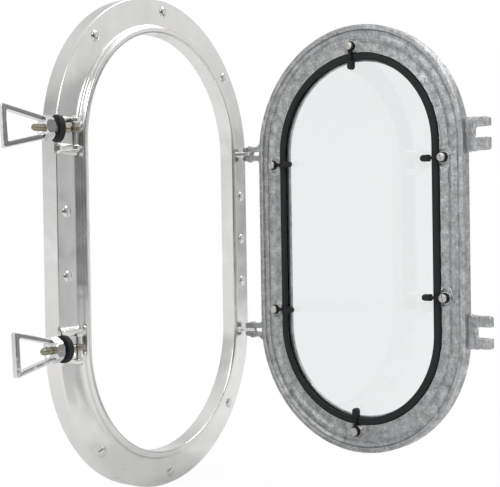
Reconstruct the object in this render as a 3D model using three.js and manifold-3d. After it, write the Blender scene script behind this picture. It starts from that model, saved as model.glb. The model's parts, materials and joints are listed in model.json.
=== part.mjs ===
// Opening porthole: an oval cast frame, a hinged glazed door, two swing-bolt dogs
// and the hardware that holds them together.
//
// Millimetres, +Z up. The origin is the centre of the plane that the frame's back rim
// lies on. -Y is the room side, +Y points into the wall. The door is modelled swung open.

import * as THREE from 'three';
import { ParametricGeometry } from 'three/addons/geometries/ParametricGeometry.js';
import { mergeVertices } from 'three/addons/utils/BufferGeometryUtils.js';
import Module from 'manifold-3d';

// ---------------------------------------------------------------- driving dimensions

const CLEARANCE = 0.3;           // gap between pieces that touch
const OVAL_SEGMENTS = 20;        // facets in each half-round end
const ROUND_SEGMENTS = 12;       // facets round small turned pieces

// Frame
const FRAME_HALF_WIDTH = 189;
const STRAIGHT = 115;            // half the straight side; frame and door share it
const FRAME_DEPTH = 22;          // back rim to flange face
const FLANGE_WIDTH = 44;         // outer edge to the opening
const FLANGE_THICKNESS = 6;
const SKIRT_THICKNESS = 6;
const RIM_WIDTH = 8.5;
const RIM_HEIGHT = 8;
const RIM_FILLET = 3;
const SPIGOT_DEPTH = 13;         // how far the opening's wall goes back from the flange face
const SPIGOT_THICKNESS = 6;
const EDGE_BREAK = 1.5;

// Flange screws
const SCREW_INSET = 14;          // screw line from the frame's outer edge
const SCREW_HEAD_RADIUS = 6.6;
const SCREW_HEAD_DOME = 2.2;
const SCREW_SINK = 3.4;
const SCREW_RADIUS = 2.4;
const SCREW_LENGTH = 18;
const SCREW_END_ANGLES = [38.5, 88.5, 134.5];
const SCREW_LEFT_HEIGHTS = [37, -35];
const SCREW_RIGHT_HEIGHTS = [61.5, 2, -57];

// Door
const DOOR_INSET = 31;           // frame edge to door edge
const DOOR_LIFT = 12.6;          // flange face to the door's back face, door closed
const DOOR_THICKNESS = 20.5;
const DOOR_BAND = 6;             // flat band round the back of the door
const DOOR_CHANNEL = 5.6;        // depth of the cast channel
const DOOR_RIDGE = 11.5;         // the back band's inner edge to the ridge in the channel
const DOOR_CROWN = 1.8;          // how far the room side swells past the edges
const DOOR_OPEN_ANGLE = 81.5;

// Glazing
const GASKET_INSET = 35;         // door edge to the gasket's outer edge
const GASKET_WIDTH = 9;
const GASKET_PROUD = 3.8;        // how far the gasket stands above the channel floor
const GLASS_THICKNESS = 5;
const GLASS_GRIP = 5.1;          // how far the gasket holds the glass
const GASKET_BACK_LEG = 3.9;
const GASKET_FRONT_LEG = 1.6;
const LIP_COVER = 1.5;           // how far the front lip reaches past the gasket

// Hinges
const HINGE_REACH = 18.5;        // door edge to hinge axis
const HINGE_LIFT = 16.5;         // flange face to hinge axis
const HINGE_HEIGHTS = { upper: 120, lower: -125.5 };
const HINGE_PIN_RADIUS = 2.5;
const TONGUE_THICKNESS = 4.8;
const TONGUE_PLAY = 0.35;        // tongue to each arm
const TONGUE_FOOT = [12, 10];    // tongue's foot each side of the axis
const TONGUE_RADIUS = 6;
const ARM_THICKNESS = 6.75;
const ARM_OVERRUN = 12;          // arm past the hinge axis
const ARM_BACK = 5;              // arm's edge from the axis, wall side
const ARM_FRONT = 5.5;           // arm's edge from the axis, room side
const ARM_CORNER = 4;
const ARM_TAPER = 2;             // how much the wall-side edge falls towards the door

// Dogs: lugs, pins, swing bolts, washers and handles
const DOG_INSET = 9;             // frame edge to the pivot pin
const DOG_LIFT = 19;             // flange face to the pivot pin
const DOGS = {                   // heights; park: bolt direction, anticlockwise from +X
  upper: { bolt: 126.5, lugs: 121.5, fork: 122.5, slot: 124.5, park: 160, turn: 6 },
  lower: { bolt: -111.5, lugs: -111.5, fork: -111, slot: -111, park: 172, turn: 3 },
};
const LUG_GAP = 24;
const LUG_THICKNESS = 6;
const LUG_RADIUS = 5.5;
const LUG_FOOT = [3, 31];        // lug's foot across the flange, from its outer edge
const FOOT_SINK = 1;             // how far feet are sunk in the flange
const PIN_HEAD_OVERHANG = 1.4;
const PIN_HEAD_THICKNESS = 1.6;
const DOG_PIN_RADIUS = 2.8;
const EYE_RADIUS = 7;
const EYE_THICKNESS = 6;
const BOLT_RADIUS = 4;
const BOLT_LENGTH = 50;
const WASHER_START = 16.6;       // pivot to the washer's near face
const WASHER_THICKNESS = 7;
const WASHER_RADIUS = 15;
const WASHER_DISH = 2.2;
const NUT_START = 27.5;          // pivot to the nut's near face
const NUT_THICKNESS = 10.5;
const NUT_RADIUS = 14.2;         // over the corners
const HANDLE_REACH = 84;         // pivot to the far side of the crossbar
const HANDLE_BAR = 5.5;
const HANDLE_DEPTH = 8;
const HANDLE_NEAR_HALF = 12;
const HANDLE_FAR_HALF = 24;
const HANDLE_EMBED = 2;          // stirrup's ends sunk in the nut

// Forks on the door
const FORK_WIDTH = 39;
const FORK_SLOT = 13;
const FORK_THICKNESS = 8;
const FORK_ROOT = 7;             // door edge to the slot's root
const FORK_OVERHANG = 5;         // fork tip past the bolt's centre line
const FORK_CORNER = 2.5;
const FORK_WEB_REACH = 9;
const FORK_WEB_DROP = 3;         // web's wall-side edge below the channel floor
const FORK_EMBED = 6;            // how far forks and webs run into the door

// Glazing clips
const CLIP_INSET = 26.5;         // door edge to the clip's screw
const CLIP_SIDE_HEIGHTS = { right: [102, -95], left: [97, -71] };
const BOSS_RADIUS = 8;
const BOSS_DROP = 1.5;           // boss face below the door's back face
const CLIP_THICKNESS = 2.5;
const CLIP_EYE_RADIUS = 6.5;
const CLIP_BAR_WIDTH = 5;
const CLIP_REACH = 26;
const TIP_WIDTH = 8;
const TIP_GAP = 1.2;             // gasket's inner edge to the rubber tip
const TIP_OVERRUN = 4;           // rubber tip past the end of the clip
const TIP_WALL = 1.4;
const CLIP_SCREW_RADIUS = 2;
const CLIP_HEAD_RADIUS = 5.2;
const CLIP_HEAD_HEIGHT = 3.6;
const CLIP_SCREW_DEPTH = 8;

// ---------------------------------------------------------------- derived places

const flangeFaceY = -FRAME_DEPTH;
const lifted = (lift) => flangeFaceY - lift;
const openingHalfWidth = FRAME_HALF_WIDTH - FLANGE_WIDTH;
const doorHalfWidth = FRAME_HALF_WIDTH - DOOR_INSET;
const doorBackY = lifted(DOOR_LIFT);
const hingeX = doorHalfWidth + HINGE_REACH;
const hingeY = lifted(HINGE_LIFT);
const dogX = DOG_INSET - FRAME_HALF_WIDTH;
const dogY = lifted(DOG_LIFT);
const forkBackY = lifted(DOG_LIFT + LUG_RADIUS + CLEARANCE);
const gasketHalfWidth = doorHalfWidth - GASKET_INSET;
const gasketBackY = doorBackY - DOOR_CHANNEL + GASKET_PROUD;
const glassBackY = gasketBackY - GASKET_BACK_LEG - CLEARANCE;
const glassFrontY = glassBackY - GLASS_THICKNESS;
const gasketFrontY = glassFrontY - CLEARANCE - GASKET_FRONT_LEG;
const lipBackY = gasketFrontY - CLEARANCE;
const doorFrontY = doorBackY - DOOR_THICKNESS;
const armSpacing = TONGUE_THICKNESS / 2 + TONGUE_PLAY + ARM_THICKNESS / 2;

// ---------------------------------------------------------------- materials

const metal = (color, roughness) => new THREE.MeshStandardMaterial({ color, roughness, metalness: 1 });
const MATERIALS = {
  polished: () => metal(0xcfcdc8, 0.22),
  cast: () => metal(0x8d8f90, 0.55),
  chrome: () => metal(0xd8d8d8, 0.12),
  nickel: () => metal(0x9a9480, 0.3),
  zinc: () => metal(0xb9bab6, 0.35),
  rubber: () => new THREE.MeshStandardMaterial({ color: 0x2b2e2f, roughness: 0.75, metalness: 0 }),
  glass: () => new THREE.MeshStandardMaterial({
    color: 0xe4eaea, roughness: 0.05, metalness: 0, transparent: true, opacity: 0.35,
  }),
};

// ---------------------------------------------------------------- solid helpers

const wasm = await Module();
wasm.setup();
const radians = THREE.MathUtils.degToRad;

/** A closed three.js geometry as a manifold solid, with its shared vertices merged. */
function toSolid(geometry) {
  const loose = geometry.index ? geometry.toNonIndexed() : geometry.clone();
  for (const name of Object.keys(loose.attributes)) {
    if (name !== 'position') loose.deleteAttribute(name);
  }
  const merged = mergeVertices(loose, 1e-4);
  const index = merged.index.array;
  const faces = [];
  for (let i = 0; i < index.length; i += 3) {
    const [a, b, c] = [index[i], index[i + 1], index[i + 2]];
    if (a !== b && b !== c && c !== a) faces.push(a, b, c);
  }
  return new wasm.Manifold(new wasm.Mesh({
    numProp: 3,
    vertProperties: merged.attributes.position.array,
    triVerts: new Uint32Array(faces),
  }));
}

/** A manifold solid as a flat-shaded three.js geometry. */
function toGeometry(solid) {
  const { vertProperties, triVerts } = solid.getMesh();
  const indexed = new THREE.BufferGeometry();
  indexed.setAttribute('position', new THREE.BufferAttribute(vertProperties, 3));
  indexed.setIndex(new THREE.BufferAttribute(triVerts, 1));
  const flat = indexed.toNonIndexed();
  flat.computeVertexNormals();
  return flat;
}

const joined = (first, ...others) => others.reduce((sum, each) => sum.add(each), first);
const cut = (first, ...others) => others.reduce((rest, each) => rest.subtract(each), first);

/** A named mesh from a manifold solid. */
function piece(name, solid, material) {
  const mesh = new THREE.Mesh(toGeometry(solid), MATERIALS[material]());
  mesh.name = name;
  return mesh;
}

/** The stations of an oval: the two half-round ends, joined by straight sides. */
function ovalStations() {
  const stations = [];
  for (const [start, centreZ] of [[0, STRAIGHT], [Math.PI, -STRAIGHT]]) {
    for (let i = 0; i <= OVAL_SEGMENTS; i += 1) {
      stations.push({ angle: start + (i / OVAL_SEGMENTS) * Math.PI, centreZ });
    }
  }
  return stations;
}

/** Sweep a closed profile of [radius, y] points round the oval. */
function ovalRing(outline) {
  const stations = ovalStations();
  const clockwise = THREE.ShapeUtils.isClockWise(outline.map(([radius, y]) => ({ x: radius, y })));
  const profile = clockwise ? outline : [...outline].reverse();
  const place = (u, v, target) => {
    const { angle, centreZ } = stations[Math.round(u * stations.length) % stations.length];
    const [radius, y] = profile[Math.round(v * profile.length) % profile.length];
    target.set(radius * Math.cos(angle), y, centreZ + radius * Math.sin(angle));
  };
  return toSolid(new ParametricGeometry(place, stations.length, profile.length));
}

/** An oval plate between two depths. */
function ovalPlate(radius, backY, frontY) {
  const shape = new THREE.Shape(ovalStations().map(({ angle, centreZ }) => (
    new THREE.Vector2(radius * Math.cos(angle), centreZ + radius * Math.sin(angle))
  )));
  return faceOn(shape, backY, backY - frontY);
}

/** Extrude an XZ outline towards the room from backY. */
function faceOn(shape, backY, thickness, curveSegments = 6) {
  const geometry = new THREE.ExtrudeGeometry(shape, { depth: thickness, bevelEnabled: false, curveSegments });
  return toSolid(geometry.rotateX(Math.PI / 2).translate(0, backY, 0));
}

/** Extrude an XY outline upwards, centred on height z. */
function levelOn(shape, z, thickness, curveSegments = 6) {
  const geometry = new THREE.ExtrudeGeometry(shape, { depth: thickness, bevelEnabled: false, curveSegments });
  return toSolid(geometry.translate(0, 0, z - thickness / 2));
}

/** A turned solid: [radius, height] points from axis to axis, or a closed loop for a ring. */
function turned(profile, segments = ROUND_SEGMENTS) {
  const points = profile.map(([radius, height]) => new THREE.Vector2(radius, height));
  return new THREE.LatheGeometry(points, segments);
}

/** A turned ring from a closed loop of [radius, height] points. */
const turnedRing = (profile, segments) => turned([...profile, profile[0]], segments);

/** An upright round bar, for pins and their bores. */
function uprightBar(x, y, radius, low, high, segments = ROUND_SEGMENTS) {
  const geometry = new THREE.CylinderGeometry(radius, radius, high - low, segments);
  return toSolid(geometry.rotateX(Math.PI / 2).translate(x, y, (low + high) / 2));
}

/** Where an oval of this radius stands at height z on one side, and its inward direction. */
function ovalAt(radius, z, side) {
  const beyond = Math.max(Math.abs(z) - STRAIGHT, 0) * Math.sign(z);
  const x = side * Math.sqrt(radius * radius - beyond * beyond);
  return { x, z, inward: Math.atan2(-beyond, -x) };
}

/** A point on an oval's round end, with its inward direction. */
function ovalEnd(radius, angle, end) {
  const a = radians(angle) * end;
  return {
    x: radius * Math.cos(a),
    z: end * STRAIGHT + radius * Math.sin(a),
    inward: a + Math.PI,
  };
}

// ---------------------------------------------------------------- frame

/** A lug standing on the flange: a foot that narrows to a round tip about a pivot. */
function lugOutline(pivotX, pivotY, radius, footLeft, footRight) {
  const footY = flangeFaceY + FOOT_SINK;
  const shape = new THREE.Shape();
  shape.moveTo(footLeft, footY);
  shape.lineTo(pivotX - radius, pivotY + FOOT_SINK);
  shape.absarc(pivotX, pivotY, radius, Math.PI, 2 * Math.PI, false);
  shape.lineTo(footRight, footY);
  shape.closePath();
  return shape;
}

function frameCasting() {
  const outer = FRAME_HALF_WIDTH;
  const rimOuter = openingHalfWidth + RIM_WIDTH;
  const tipY = lifted(RIM_HEIGHT);
  const flangeBackY = flangeFaceY + FLANGE_THICKNESS;
  const spigotBackY = flangeFaceY + SPIGOT_DEPTH;
  const fillet = [0, 30, 60, 90].map((angle) => [
    rimOuter + RIM_FILLET * (1 - Math.sin(radians(angle))),
    flangeFaceY - RIM_FILLET * (1 - Math.cos(radians(angle))),
  ]);
  return ovalRing([
    [outer, 0],
    [outer - SKIRT_THICKNESS, 0],
    [outer - SKIRT_THICKNESS, flangeBackY],
    [openingHalfWidth + SPIGOT_THICKNESS, flangeBackY],
    [openingHalfWidth + SPIGOT_THICKNESS, spigotBackY],
    [openingHalfWidth, spigotBackY],
    [openingHalfWidth, tipY + EDGE_BREAK],
    [openingHalfWidth + EDGE_BREAK, tipY],
    [rimOuter - EDGE_BREAK, tipY],
    [rimOuter, tipY + EDGE_BREAK],
    ...fillet.reverse(),
    [outer - EDGE_BREAK, flangeFaceY],
    [outer, flangeFaceY + EDGE_BREAK],
  ]);
}

function dogLugs({ lugs }) {
  const [left, right] = LUG_FOOT.map((across) => across - FRAME_HALF_WIDTH);
  const outline = lugOutline(dogX, dogY, LUG_RADIUS, left, right);
  const offset = (LUG_GAP + LUG_THICKNESS) / 2;
  return [lugs + offset, lugs - offset].map((z) => levelOn(outline, z, LUG_THICKNESS));
}

function hingeTongue(z) {
  const [left, right] = TONGUE_FOOT;
  const outline = lugOutline(hingeX, hingeY, TONGUE_RADIUS, hingeX - left, hingeX + right);
  return levelOn(outline, z, TONGUE_THICKNESS);
}

function screwPlaces() {
  const radius = FRAME_HALF_WIDTH - SCREW_INSET;
  return [
    ...SCREW_END_ANGLES.map((angle) => ovalEnd(radius, angle, 1)),
    ...SCREW_END_ANGLES.map((angle) => ovalEnd(radius, angle, -1)),
    ...SCREW_LEFT_HEIGHTS.map((z) => ovalAt(radius, z, -1)),
    ...SCREW_RIGHT_HEIGHTS.map((z) => ovalAt(radius, z, 1)),
  ];
}

/** A countersunk screw, or its hole when a clearance is given, pointing into the wall. */
function flangeScrew({ x, z }, clearance) {
  const head = SCREW_HEAD_RADIUS + clearance;
  const shank = SCREW_RADIUS + clearance;
  const dome = clearance ? SCREW_HEAD_DOME + 1 : SCREW_HEAD_DOME;
  const profile = [
    [0, -dome],
    ...(clearance ? [[head, -dome]] : [[head * 0.55, -dome * 0.85], [head * 0.88, -dome * 0.4]]),
    [head, 0],
    [shank, SCREW_SINK],
    [shank, SCREW_LENGTH],
    [0, SCREW_LENGTH],
  ];
  return toSolid(turned(profile).translate(x, flangeFaceY, z));
}

function buildFrame() {
  const pivots = Object.values(DOGS).flatMap(dogLugs);
  const tongues = Object.values(HINGE_HEIGHTS).map(hingeTongue);
  const screwHoles = screwPlaces().map((place) => flangeScrew(place, CLEARANCE));
  const bore = (x, y, radius, z, half) => (
    uprightBar(x, y, radius + CLEARANCE, z - half, z + half)
  );
  const pinBores = [
    ...Object.values(DOGS).map(({ lugs }) => bore(dogX, dogY, DOG_PIN_RADIUS, lugs, LUG_GAP)),
    ...Object.values(HINGE_HEIGHTS).map((z) => bore(hingeX, hingeY, HINGE_PIN_RADIUS, z, ARM_THICKNESS)),
  ];
  return cut(joined(frameCasting(), ...pivots, ...tongues), ...screwHoles, ...pinBores);
}

// ---------------------------------------------------------------- door

function doorCasting() {
  const edge = doorHalfWidth;
  const band = edge - DOOR_BAND;
  const y = (depth) => doorBackY - depth;
  const seat = gasketHalfWidth + CLEARANCE;
  const lip = gasketHalfWidth - GASKET_WIDTH - LIP_COVER;
  return ovalRing([
    [edge, y(EDGE_BREAK)],
    [edge - EDGE_BREAK, y(0)],
    [band, y(0)],
    [band - EDGE_BREAK, y(DOOR_CHANNEL * 0.65)],
    [band - DOOR_RIDGE * 0.6, y(DOOR_CHANNEL)],
    [band - DOOR_RIDGE, y(DOOR_CHANNEL * 0.75)],
    [band - DOOR_RIDGE * 1.75, y(DOOR_CHANNEL * 1.12)],
    [seat, y(DOOR_CHANNEL)],
    [seat, lipBackY],
    [lip, lipBackY],
    [lip, doorFrontY + 3],
    [lip + 5, doorFrontY],
    [lip + 22, doorFrontY - DOOR_CROWN],
    [edge - 8, doorFrontY],
    [edge - 2, doorFrontY + 2.5],
    [edge, doorFrontY + 5.5],
  ]);
}

/** A fork: two prongs with a round-rooted slot between them, and a web at the door's edge. */
function doorFork({ fork, slot }) {
  const start = FORK_EMBED - doorHalfWidth;
  const tip = dogX - FORK_OVERHANG;
  const [low, high] = [fork - FORK_WIDTH / 2, fork + FORK_WIDTH / 2];
  const half = FORK_SLOT / 2;
  const rootX = -doorHalfWidth - FORK_ROOT - half;
  const r = FORK_CORNER;
  const shape = new THREE.Shape();
  shape.moveTo(start, high);
  shape.lineTo(tip + r, high);
  shape.absarc(tip + r, high - r, r, Math.PI / 2, Math.PI, false);
  shape.lineTo(tip, slot + half);
  shape.lineTo(rootX, slot + half);
  shape.absarc(rootX, slot, half, Math.PI / 2, -Math.PI / 2, true);
  shape.lineTo(tip, slot - half);
  shape.lineTo(tip, low + r);
  shape.absarc(tip + r, low + r, r, Math.PI, 1.5 * Math.PI, false);
  shape.lineTo(start, low);
  shape.closePath();

  const webEnd = -doorHalfWidth - FORK_WEB_REACH;
  const webTopY = doorBackY - DOOR_CHANNEL - FORK_WEB_DROP;
  const web = new THREE.Shape();
  web.moveTo(start, webTopY);
  web.lineTo(-doorHalfWidth - 2, webTopY + 2);
  web.lineTo(webEnd, forkBackY + 0.5);
  web.lineTo(webEnd, forkBackY - 2);
  web.lineTo(start, forkBackY - 2);
  web.closePath();
  const plate = faceOn(shape, forkBackY, FORK_THICKNESS);
  const webBlock = levelOn(web, fork, FORK_WIDTH - 2);
  const slotRound = new THREE.Shape().absarc(rootX, slot, half, 0, 2 * Math.PI, false);
  return joined(plate, cut(webBlock, faceOn(slotRound, doorBackY, DOOR_THICKNESS * 2, 12)));
}

function hingeArms(z) {
  const start = doorHalfWidth - FORK_EMBED - 1;
  const end = hingeX + ARM_OVERRUN;
  const back = hingeY + ARM_BACK;
  const front = hingeY - ARM_FRONT;
  const r = ARM_CORNER;
  const shape = new THREE.Shape();
  shape.moveTo(start, front);
  shape.lineTo(end - r, front);
  shape.absarc(end - r, front + r, r, -Math.PI / 2, 0, false);
  shape.lineTo(end, back - r);
  shape.absarc(end - r, back - r, r, 0, Math.PI / 2, false);
  shape.lineTo(start, back - ARM_TAPER);
  shape.closePath();
  const bore = uprightBar(hingeX, hingeY, HINGE_PIN_RADIUS + CLEARANCE, z - 20, z + 20);
  return [z + armSpacing, z - armSpacing].map((height) => cut(levelOn(shape, height, ARM_THICKNESS), bore));
}

function clipPlaces() {
  const radius = doorHalfWidth - CLIP_INSET;
  const [right, left] = [CLIP_SIDE_HEIGHTS.right, CLIP_SIDE_HEIGHTS.left];
  return {
    top: ovalEnd(radius, 90, 1),
    bottom: ovalEnd(radius, 90, -1),
    hinge_upper: ovalAt(radius, right[0], 1),
    hinge_lower: ovalAt(radius, right[1], 1),
    fork_upper: ovalAt(radius, left[0], -1),
    fork_lower: ovalAt(radius, left[1], -1),
  };
}

/** A turned solid along the door's normal at a clip: heights count towards the wall. */
const onDoor = (profile, { x, z }) => toSolid(turned(profile, 10).translate(x, doorBackY, z));

function clipBoss(place) {
  const foot = -DOOR_CHANNEL - 4;
  return onDoor([[0, foot], [BOSS_RADIUS + 2, foot], [BOSS_RADIUS, -BOSS_DROP], [0, -BOSS_DROP]], place);
}

function clipBore(place) {
  const radius = CLIP_SCREW_RADIUS + CLEARANCE;
  const bottom = -BOSS_DROP - CLIP_SCREW_DEPTH - 1;
  return onDoor([[0, bottom], [radius, bottom], [radius, 5], [0, 5]], place);
}

function buildDoor() {
  const places = Object.values(clipPlaces());
  const bosses = places.map(clipBoss);
  const gasketRoom = ovalPlate(gasketHalfWidth + CLEARANCE, doorBackY + 5, lipBackY);
  const body = joined(doorCasting(), ...bosses.map((boss) => cut(boss, gasketRoom)));
  const forks = Object.values(DOGS).map(doorFork);
  const arms = Object.values(HINGE_HEIGHTS).flatMap(hingeArms);
  return cut(joined(body, ...forks, ...arms), ...places.map(clipBore));
}

function buildGasket() {
  const outer = gasketHalfWidth;
  const inner = outer - GASKET_WIDTH;
  const grip = inner + GLASS_GRIP + CLEARANCE;
  return ovalRing([
    [outer, gasketBackY - 1],
    [outer, gasketFrontY],
    [inner, gasketFrontY],
    [inner, glassFrontY - CLEARANCE],
    [grip, glassFrontY - CLEARANCE],
    [grip, glassBackY + CLEARANCE],
    [inner, glassBackY + CLEARANCE],
    [inner, gasketBackY - 1],
    [inner + 1, gasketBackY],
    [outer - 1, gasketBackY],
  ]);
}

const buildGlass = () => (
  ovalPlate(gasketHalfWidth - GASKET_WIDTH + GLASS_GRIP, glassBackY, glassFrontY)
);

// ---------------------------------------------------------------- glazing clips

/** The clip: an eye under the screw head and a bar that reaches over the gasket. */
function clipArm() {
  const eye = new THREE.Shape().absarc(0, 0, CLIP_EYE_RADIUS, 0, 2 * Math.PI, false);
  const half = CLIP_BAR_WIDTH / 2;
  const bar = new THREE.Shape();
  bar.moveTo(0, -half);
  bar.lineTo(CLIP_REACH, -half);
  bar.lineTo(CLIP_REACH, half);
  bar.lineTo(0, half);
  bar.closePath();
  const hole = new THREE.Shape().absarc(0, 0, CLIP_SCREW_RADIUS + CLEARANCE, 0, 2 * Math.PI, false);
  const top = -BOSS_DROP + CLEARANCE + CLIP_THICKNESS;
  const blank = joined(faceOn(eye, top, CLIP_THICKNESS, 8), faceOn(bar, top, CLIP_THICKNESS));
  return cut(blank, faceOn(hole, top + 1, CLIP_THICKNESS + 2, 5));
}

/** The rubber tip: a round-ended block with a pocket for the clip's end. */
function clipTip() {
  const half = TIP_WIDTH / 2;
  const end = CLIP_REACH + TIP_OVERRUN - half;
  const start = GASKET_INSET + GASKET_WIDTH - CLIP_INSET + TIP_GAP;
  const outline = new THREE.Shape();
  outline.moveTo(start, -half);
  outline.absarc(end, 0, half, -Math.PI / 2, Math.PI / 2, false);
  outline.lineTo(start, half);
  outline.closePath();
  const clipTop = -BOSS_DROP + CLEARANCE + CLIP_THICKNESS;
  const top = clipTop + CLEARANCE + TIP_WALL;
  const foot = glassBackY - doorBackY + CLEARANCE;
  const pocketHalf = CLIP_BAR_WIDTH / 2 + CLEARANCE;
  const pocket = new THREE.Shape();
  pocket.moveTo(start - 5, -pocketHalf);
  pocket.lineTo(CLIP_REACH + CLEARANCE, -pocketHalf);
  pocket.lineTo(CLIP_REACH + CLEARANCE, pocketHalf);
  pocket.lineTo(start - 5, pocketHalf);
  pocket.closePath();
  const pocketCut = faceOn(pocket, clipTop + CLEARANCE, CLIP_THICKNESS + 2 * CLEARANCE);
  return cut(faceOn(outline, top, top - foot), pocketCut);
}

function clipScrew() {
  const seat = -BOSS_DROP + CLIP_THICKNESS + 2 * CLEARANCE;
  const top = seat + CLIP_HEAD_HEIGHT;
  return toSolid(turned([
    [0, -BOSS_DROP - CLIP_SCREW_DEPTH],
    [CLIP_SCREW_RADIUS, -BOSS_DROP - CLIP_SCREW_DEPTH],
    [CLIP_SCREW_RADIUS, seat],
    [CLIP_HEAD_RADIUS, seat],
    [CLIP_HEAD_RADIUS, top - 1],
    [CLIP_HEAD_RADIUS - 1, top],
    [0, top],
  ], 10));
}

function clipGroup(name, { x, z, inward }) {
  const group = new THREE.Group();
  group.position.set(x, doorBackY, z);
  group.rotation.y = -inward;
  group.add(
    piece(`clip_${name}`, clipArm(), 'nickel'),
    piece(`clip_tip_${name}`, clipTip(), 'rubber'),
    piece(`clip_screw_${name}`, clipScrew(), 'zinc'),
  );
  return group;
}

// ---------------------------------------------------------------- pins

/** A pin with a shallow head at each end. */
function headedPin(x, y, radius, low, high) {
  const head = radius + PIN_HEAD_OVERHANG;
  const [bottom, top] = [low - PIN_HEAD_THICKNESS, high + PIN_HEAD_THICKNESS];
  const profile = [
    [0, bottom], [radius, bottom], [head, bottom + 1], [head, low],
    [radius, low], [radius, high],
    [head, high], [head, top - 1], [radius, top], [0, top],
  ];
  return toSolid(turned(profile).rotateX(Math.PI / 2).translate(x, y, 0));
}

// ---------------------------------------------------------------- dogs

/** Local frame of a dog: the pivot at the origin, the bolt along +X, the pin along Z. */
const alongBolt = (geometry) => toSolid(geometry.rotateZ(-Math.PI / 2));

function swingBolt() {
  const eye = uprightBar(0, 0, EYE_RADIUS, -EYE_THICKNESS / 2, EYE_THICKNESS / 2, 16);
  const shank = alongBolt(turned([
    [0, EYE_RADIUS - 2], [BOLT_RADIUS, EYE_RADIUS - 2],
    [BOLT_RADIUS, BOLT_LENGTH - 1.5], [BOLT_RADIUS - 1.5, BOLT_LENGTH], [0, BOLT_LENGTH],
  ]));
  const bore = uprightBar(0, 0, DOG_PIN_RADIUS + CLEARANCE, -EYE_THICKNESS, EYE_THICKNESS);
  return cut(joined(eye, shank), bore);
}

function rubberWasher() {
  const bore = BOLT_RADIUS + CLEARANCE;
  const [near, far] = [WASHER_START, WASHER_START + WASHER_THICKNESS];
  return alongBolt(turnedRing([
    [bore, near], [WASHER_RADIUS - 2, near], [WASHER_RADIUS, near + 2],
    [WASHER_RADIUS, far - 1], [WASHER_RADIUS - 1.5, far], [bore + 3, far - WASHER_DISH],
    [bore, far - WASHER_DISH],
  ], 20));
}

/** The stirrup: two arms that spread from the nut to a crossbar. */
function handleStirrup(turn) {
  const near = NUT_START + NUT_THICKNESS - HANDLE_EMBED;
  const far = HANDLE_REACH;
  const outline = new THREE.Shape([
    new THREE.Vector2(near, -HANDLE_NEAR_HALF), new THREE.Vector2(far, -HANDLE_FAR_HALF),
    new THREE.Vector2(far, HANDLE_FAR_HALF), new THREE.Vector2(near, HANDLE_NEAR_HALF),
  ]);
  const slope = (HANDLE_FAR_HALF - HANDLE_NEAR_HALF) / (far - near);
  const innerHalf = (x) => HANDLE_NEAR_HALF + slope * (x - near) - HANDLE_BAR * Math.hypot(1, slope);
  const innerNear = near - 5;
  const innerFar = far - HANDLE_BAR;
  const window = new THREE.Shape([
    new THREE.Vector2(innerNear, -innerHalf(innerNear)), new THREE.Vector2(innerFar, -innerHalf(innerFar)),
    new THREE.Vector2(innerFar, innerHalf(innerFar)), new THREE.Vector2(innerNear, innerHalf(innerNear)),
  ]);
  const bar = faceOn(outline, HANDLE_DEPTH / 2, HANDLE_DEPTH);
  const stirrup = cut(bar, faceOn(window, HANDLE_DEPTH, HANDLE_DEPTH * 2));
  const nut = alongBolt(turned([
    [0, NUT_START], [NUT_RADIUS - 1, NUT_START], [NUT_RADIUS, NUT_START + 1.5],
    [NUT_RADIUS, NUT_START + NUT_THICKNESS - 1.5], [NUT_RADIUS - 1, NUT_START + NUT_THICKNESS],
    [0, NUT_START + NUT_THICKNESS],
  ], 6));
  const bore = alongBolt(turned([
    [0, NUT_START - 2], [BOLT_RADIUS + CLEARANCE, NUT_START - 2],
    [BOLT_RADIUS + CLEARANCE, NUT_START + NUT_THICKNESS + 2], [0, NUT_START + NUT_THICKNESS + 2],
  ]));
  return cut(joined(nut, stirrup), bore).rotate([turn, 0, 0]);
}

function dogGroup(name, { bolt, park, turn }) {
  const group = new THREE.Group();
  group.position.set(dogX, dogY, bolt);
  group.rotation.z = radians(park);
  group.add(
    piece(`swing_bolt_${name}`, swingBolt(), 'nickel'),
    piece(`rubber_washer_${name}`, rubberWasher(), 'rubber'),
    piece(`handle_nut_${name}`, handleStirrup(turn), 'chrome'),
  );
  return group;
}

// ---------------------------------------------------------------- assembly

const porthole = new THREE.Group();
porthole.add(piece('ring_frame', buildFrame(), 'polished'));
screwPlaces().forEach((place, i) => {
  const number = String(i + 1).padStart(2, '0');
  porthole.add(piece(`flange_screw_${number}`, flangeScrew(place, 0), 'polished'));
});

for (const [name, z] of Object.entries(HINGE_HEIGHTS)) {
  const half = armSpacing + ARM_THICKNESS / 2 + CLEARANCE;
  porthole.add(piece(
    `hinge_pin_${name}`,
    headedPin(hingeX, hingeY, HINGE_PIN_RADIUS, z - half, z + half),
    'zinc',
  ));
}

for (const [name, dog] of Object.entries(DOGS)) {
  const half = LUG_GAP / 2 + LUG_THICKNESS + CLEARANCE;
  porthole.add(piece(
    `dog_pin_${name}`,
    headedPin(dogX, dogY, DOG_PIN_RADIUS, dog.lugs - half, dog.lugs + half),
    'zinc',
  ));
  porthole.add(dogGroup(name, dog));
}

// The door group turns about the hinge axis; its pieces are placed as if it were closed.
const door = new THREE.Group();
door.position.set(hingeX, hingeY, 0);
door.rotation.z = radians(DOOR_OPEN_ANGLE);
const closed = new THREE.Group();
closed.position.set(-hingeX, -hingeY, 0);
closed.add(
  piece('door_frame', buildDoor(), 'cast'),
  piece('glass_gasket', buildGasket(), 'rubber'),
  piece('glass', buildGlass(), 'glass'),
);
for (const [name, place] of Object.entries(clipPlaces())) closed.add(clipGroup(name, place));
door.add(closed);
porthole.add(door);

export default porthole;
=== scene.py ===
"""Opening porthole: finished pieces, materials and studio round the packed frame.

Shapes are worked out in millimetres, door pieces as if the door were closed, and are
brought to metres and to their place just before each piece is finished.
"""

import json
import math

import bmesh
import bpy
from mathutils import Matrix, Vector, noise


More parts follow.
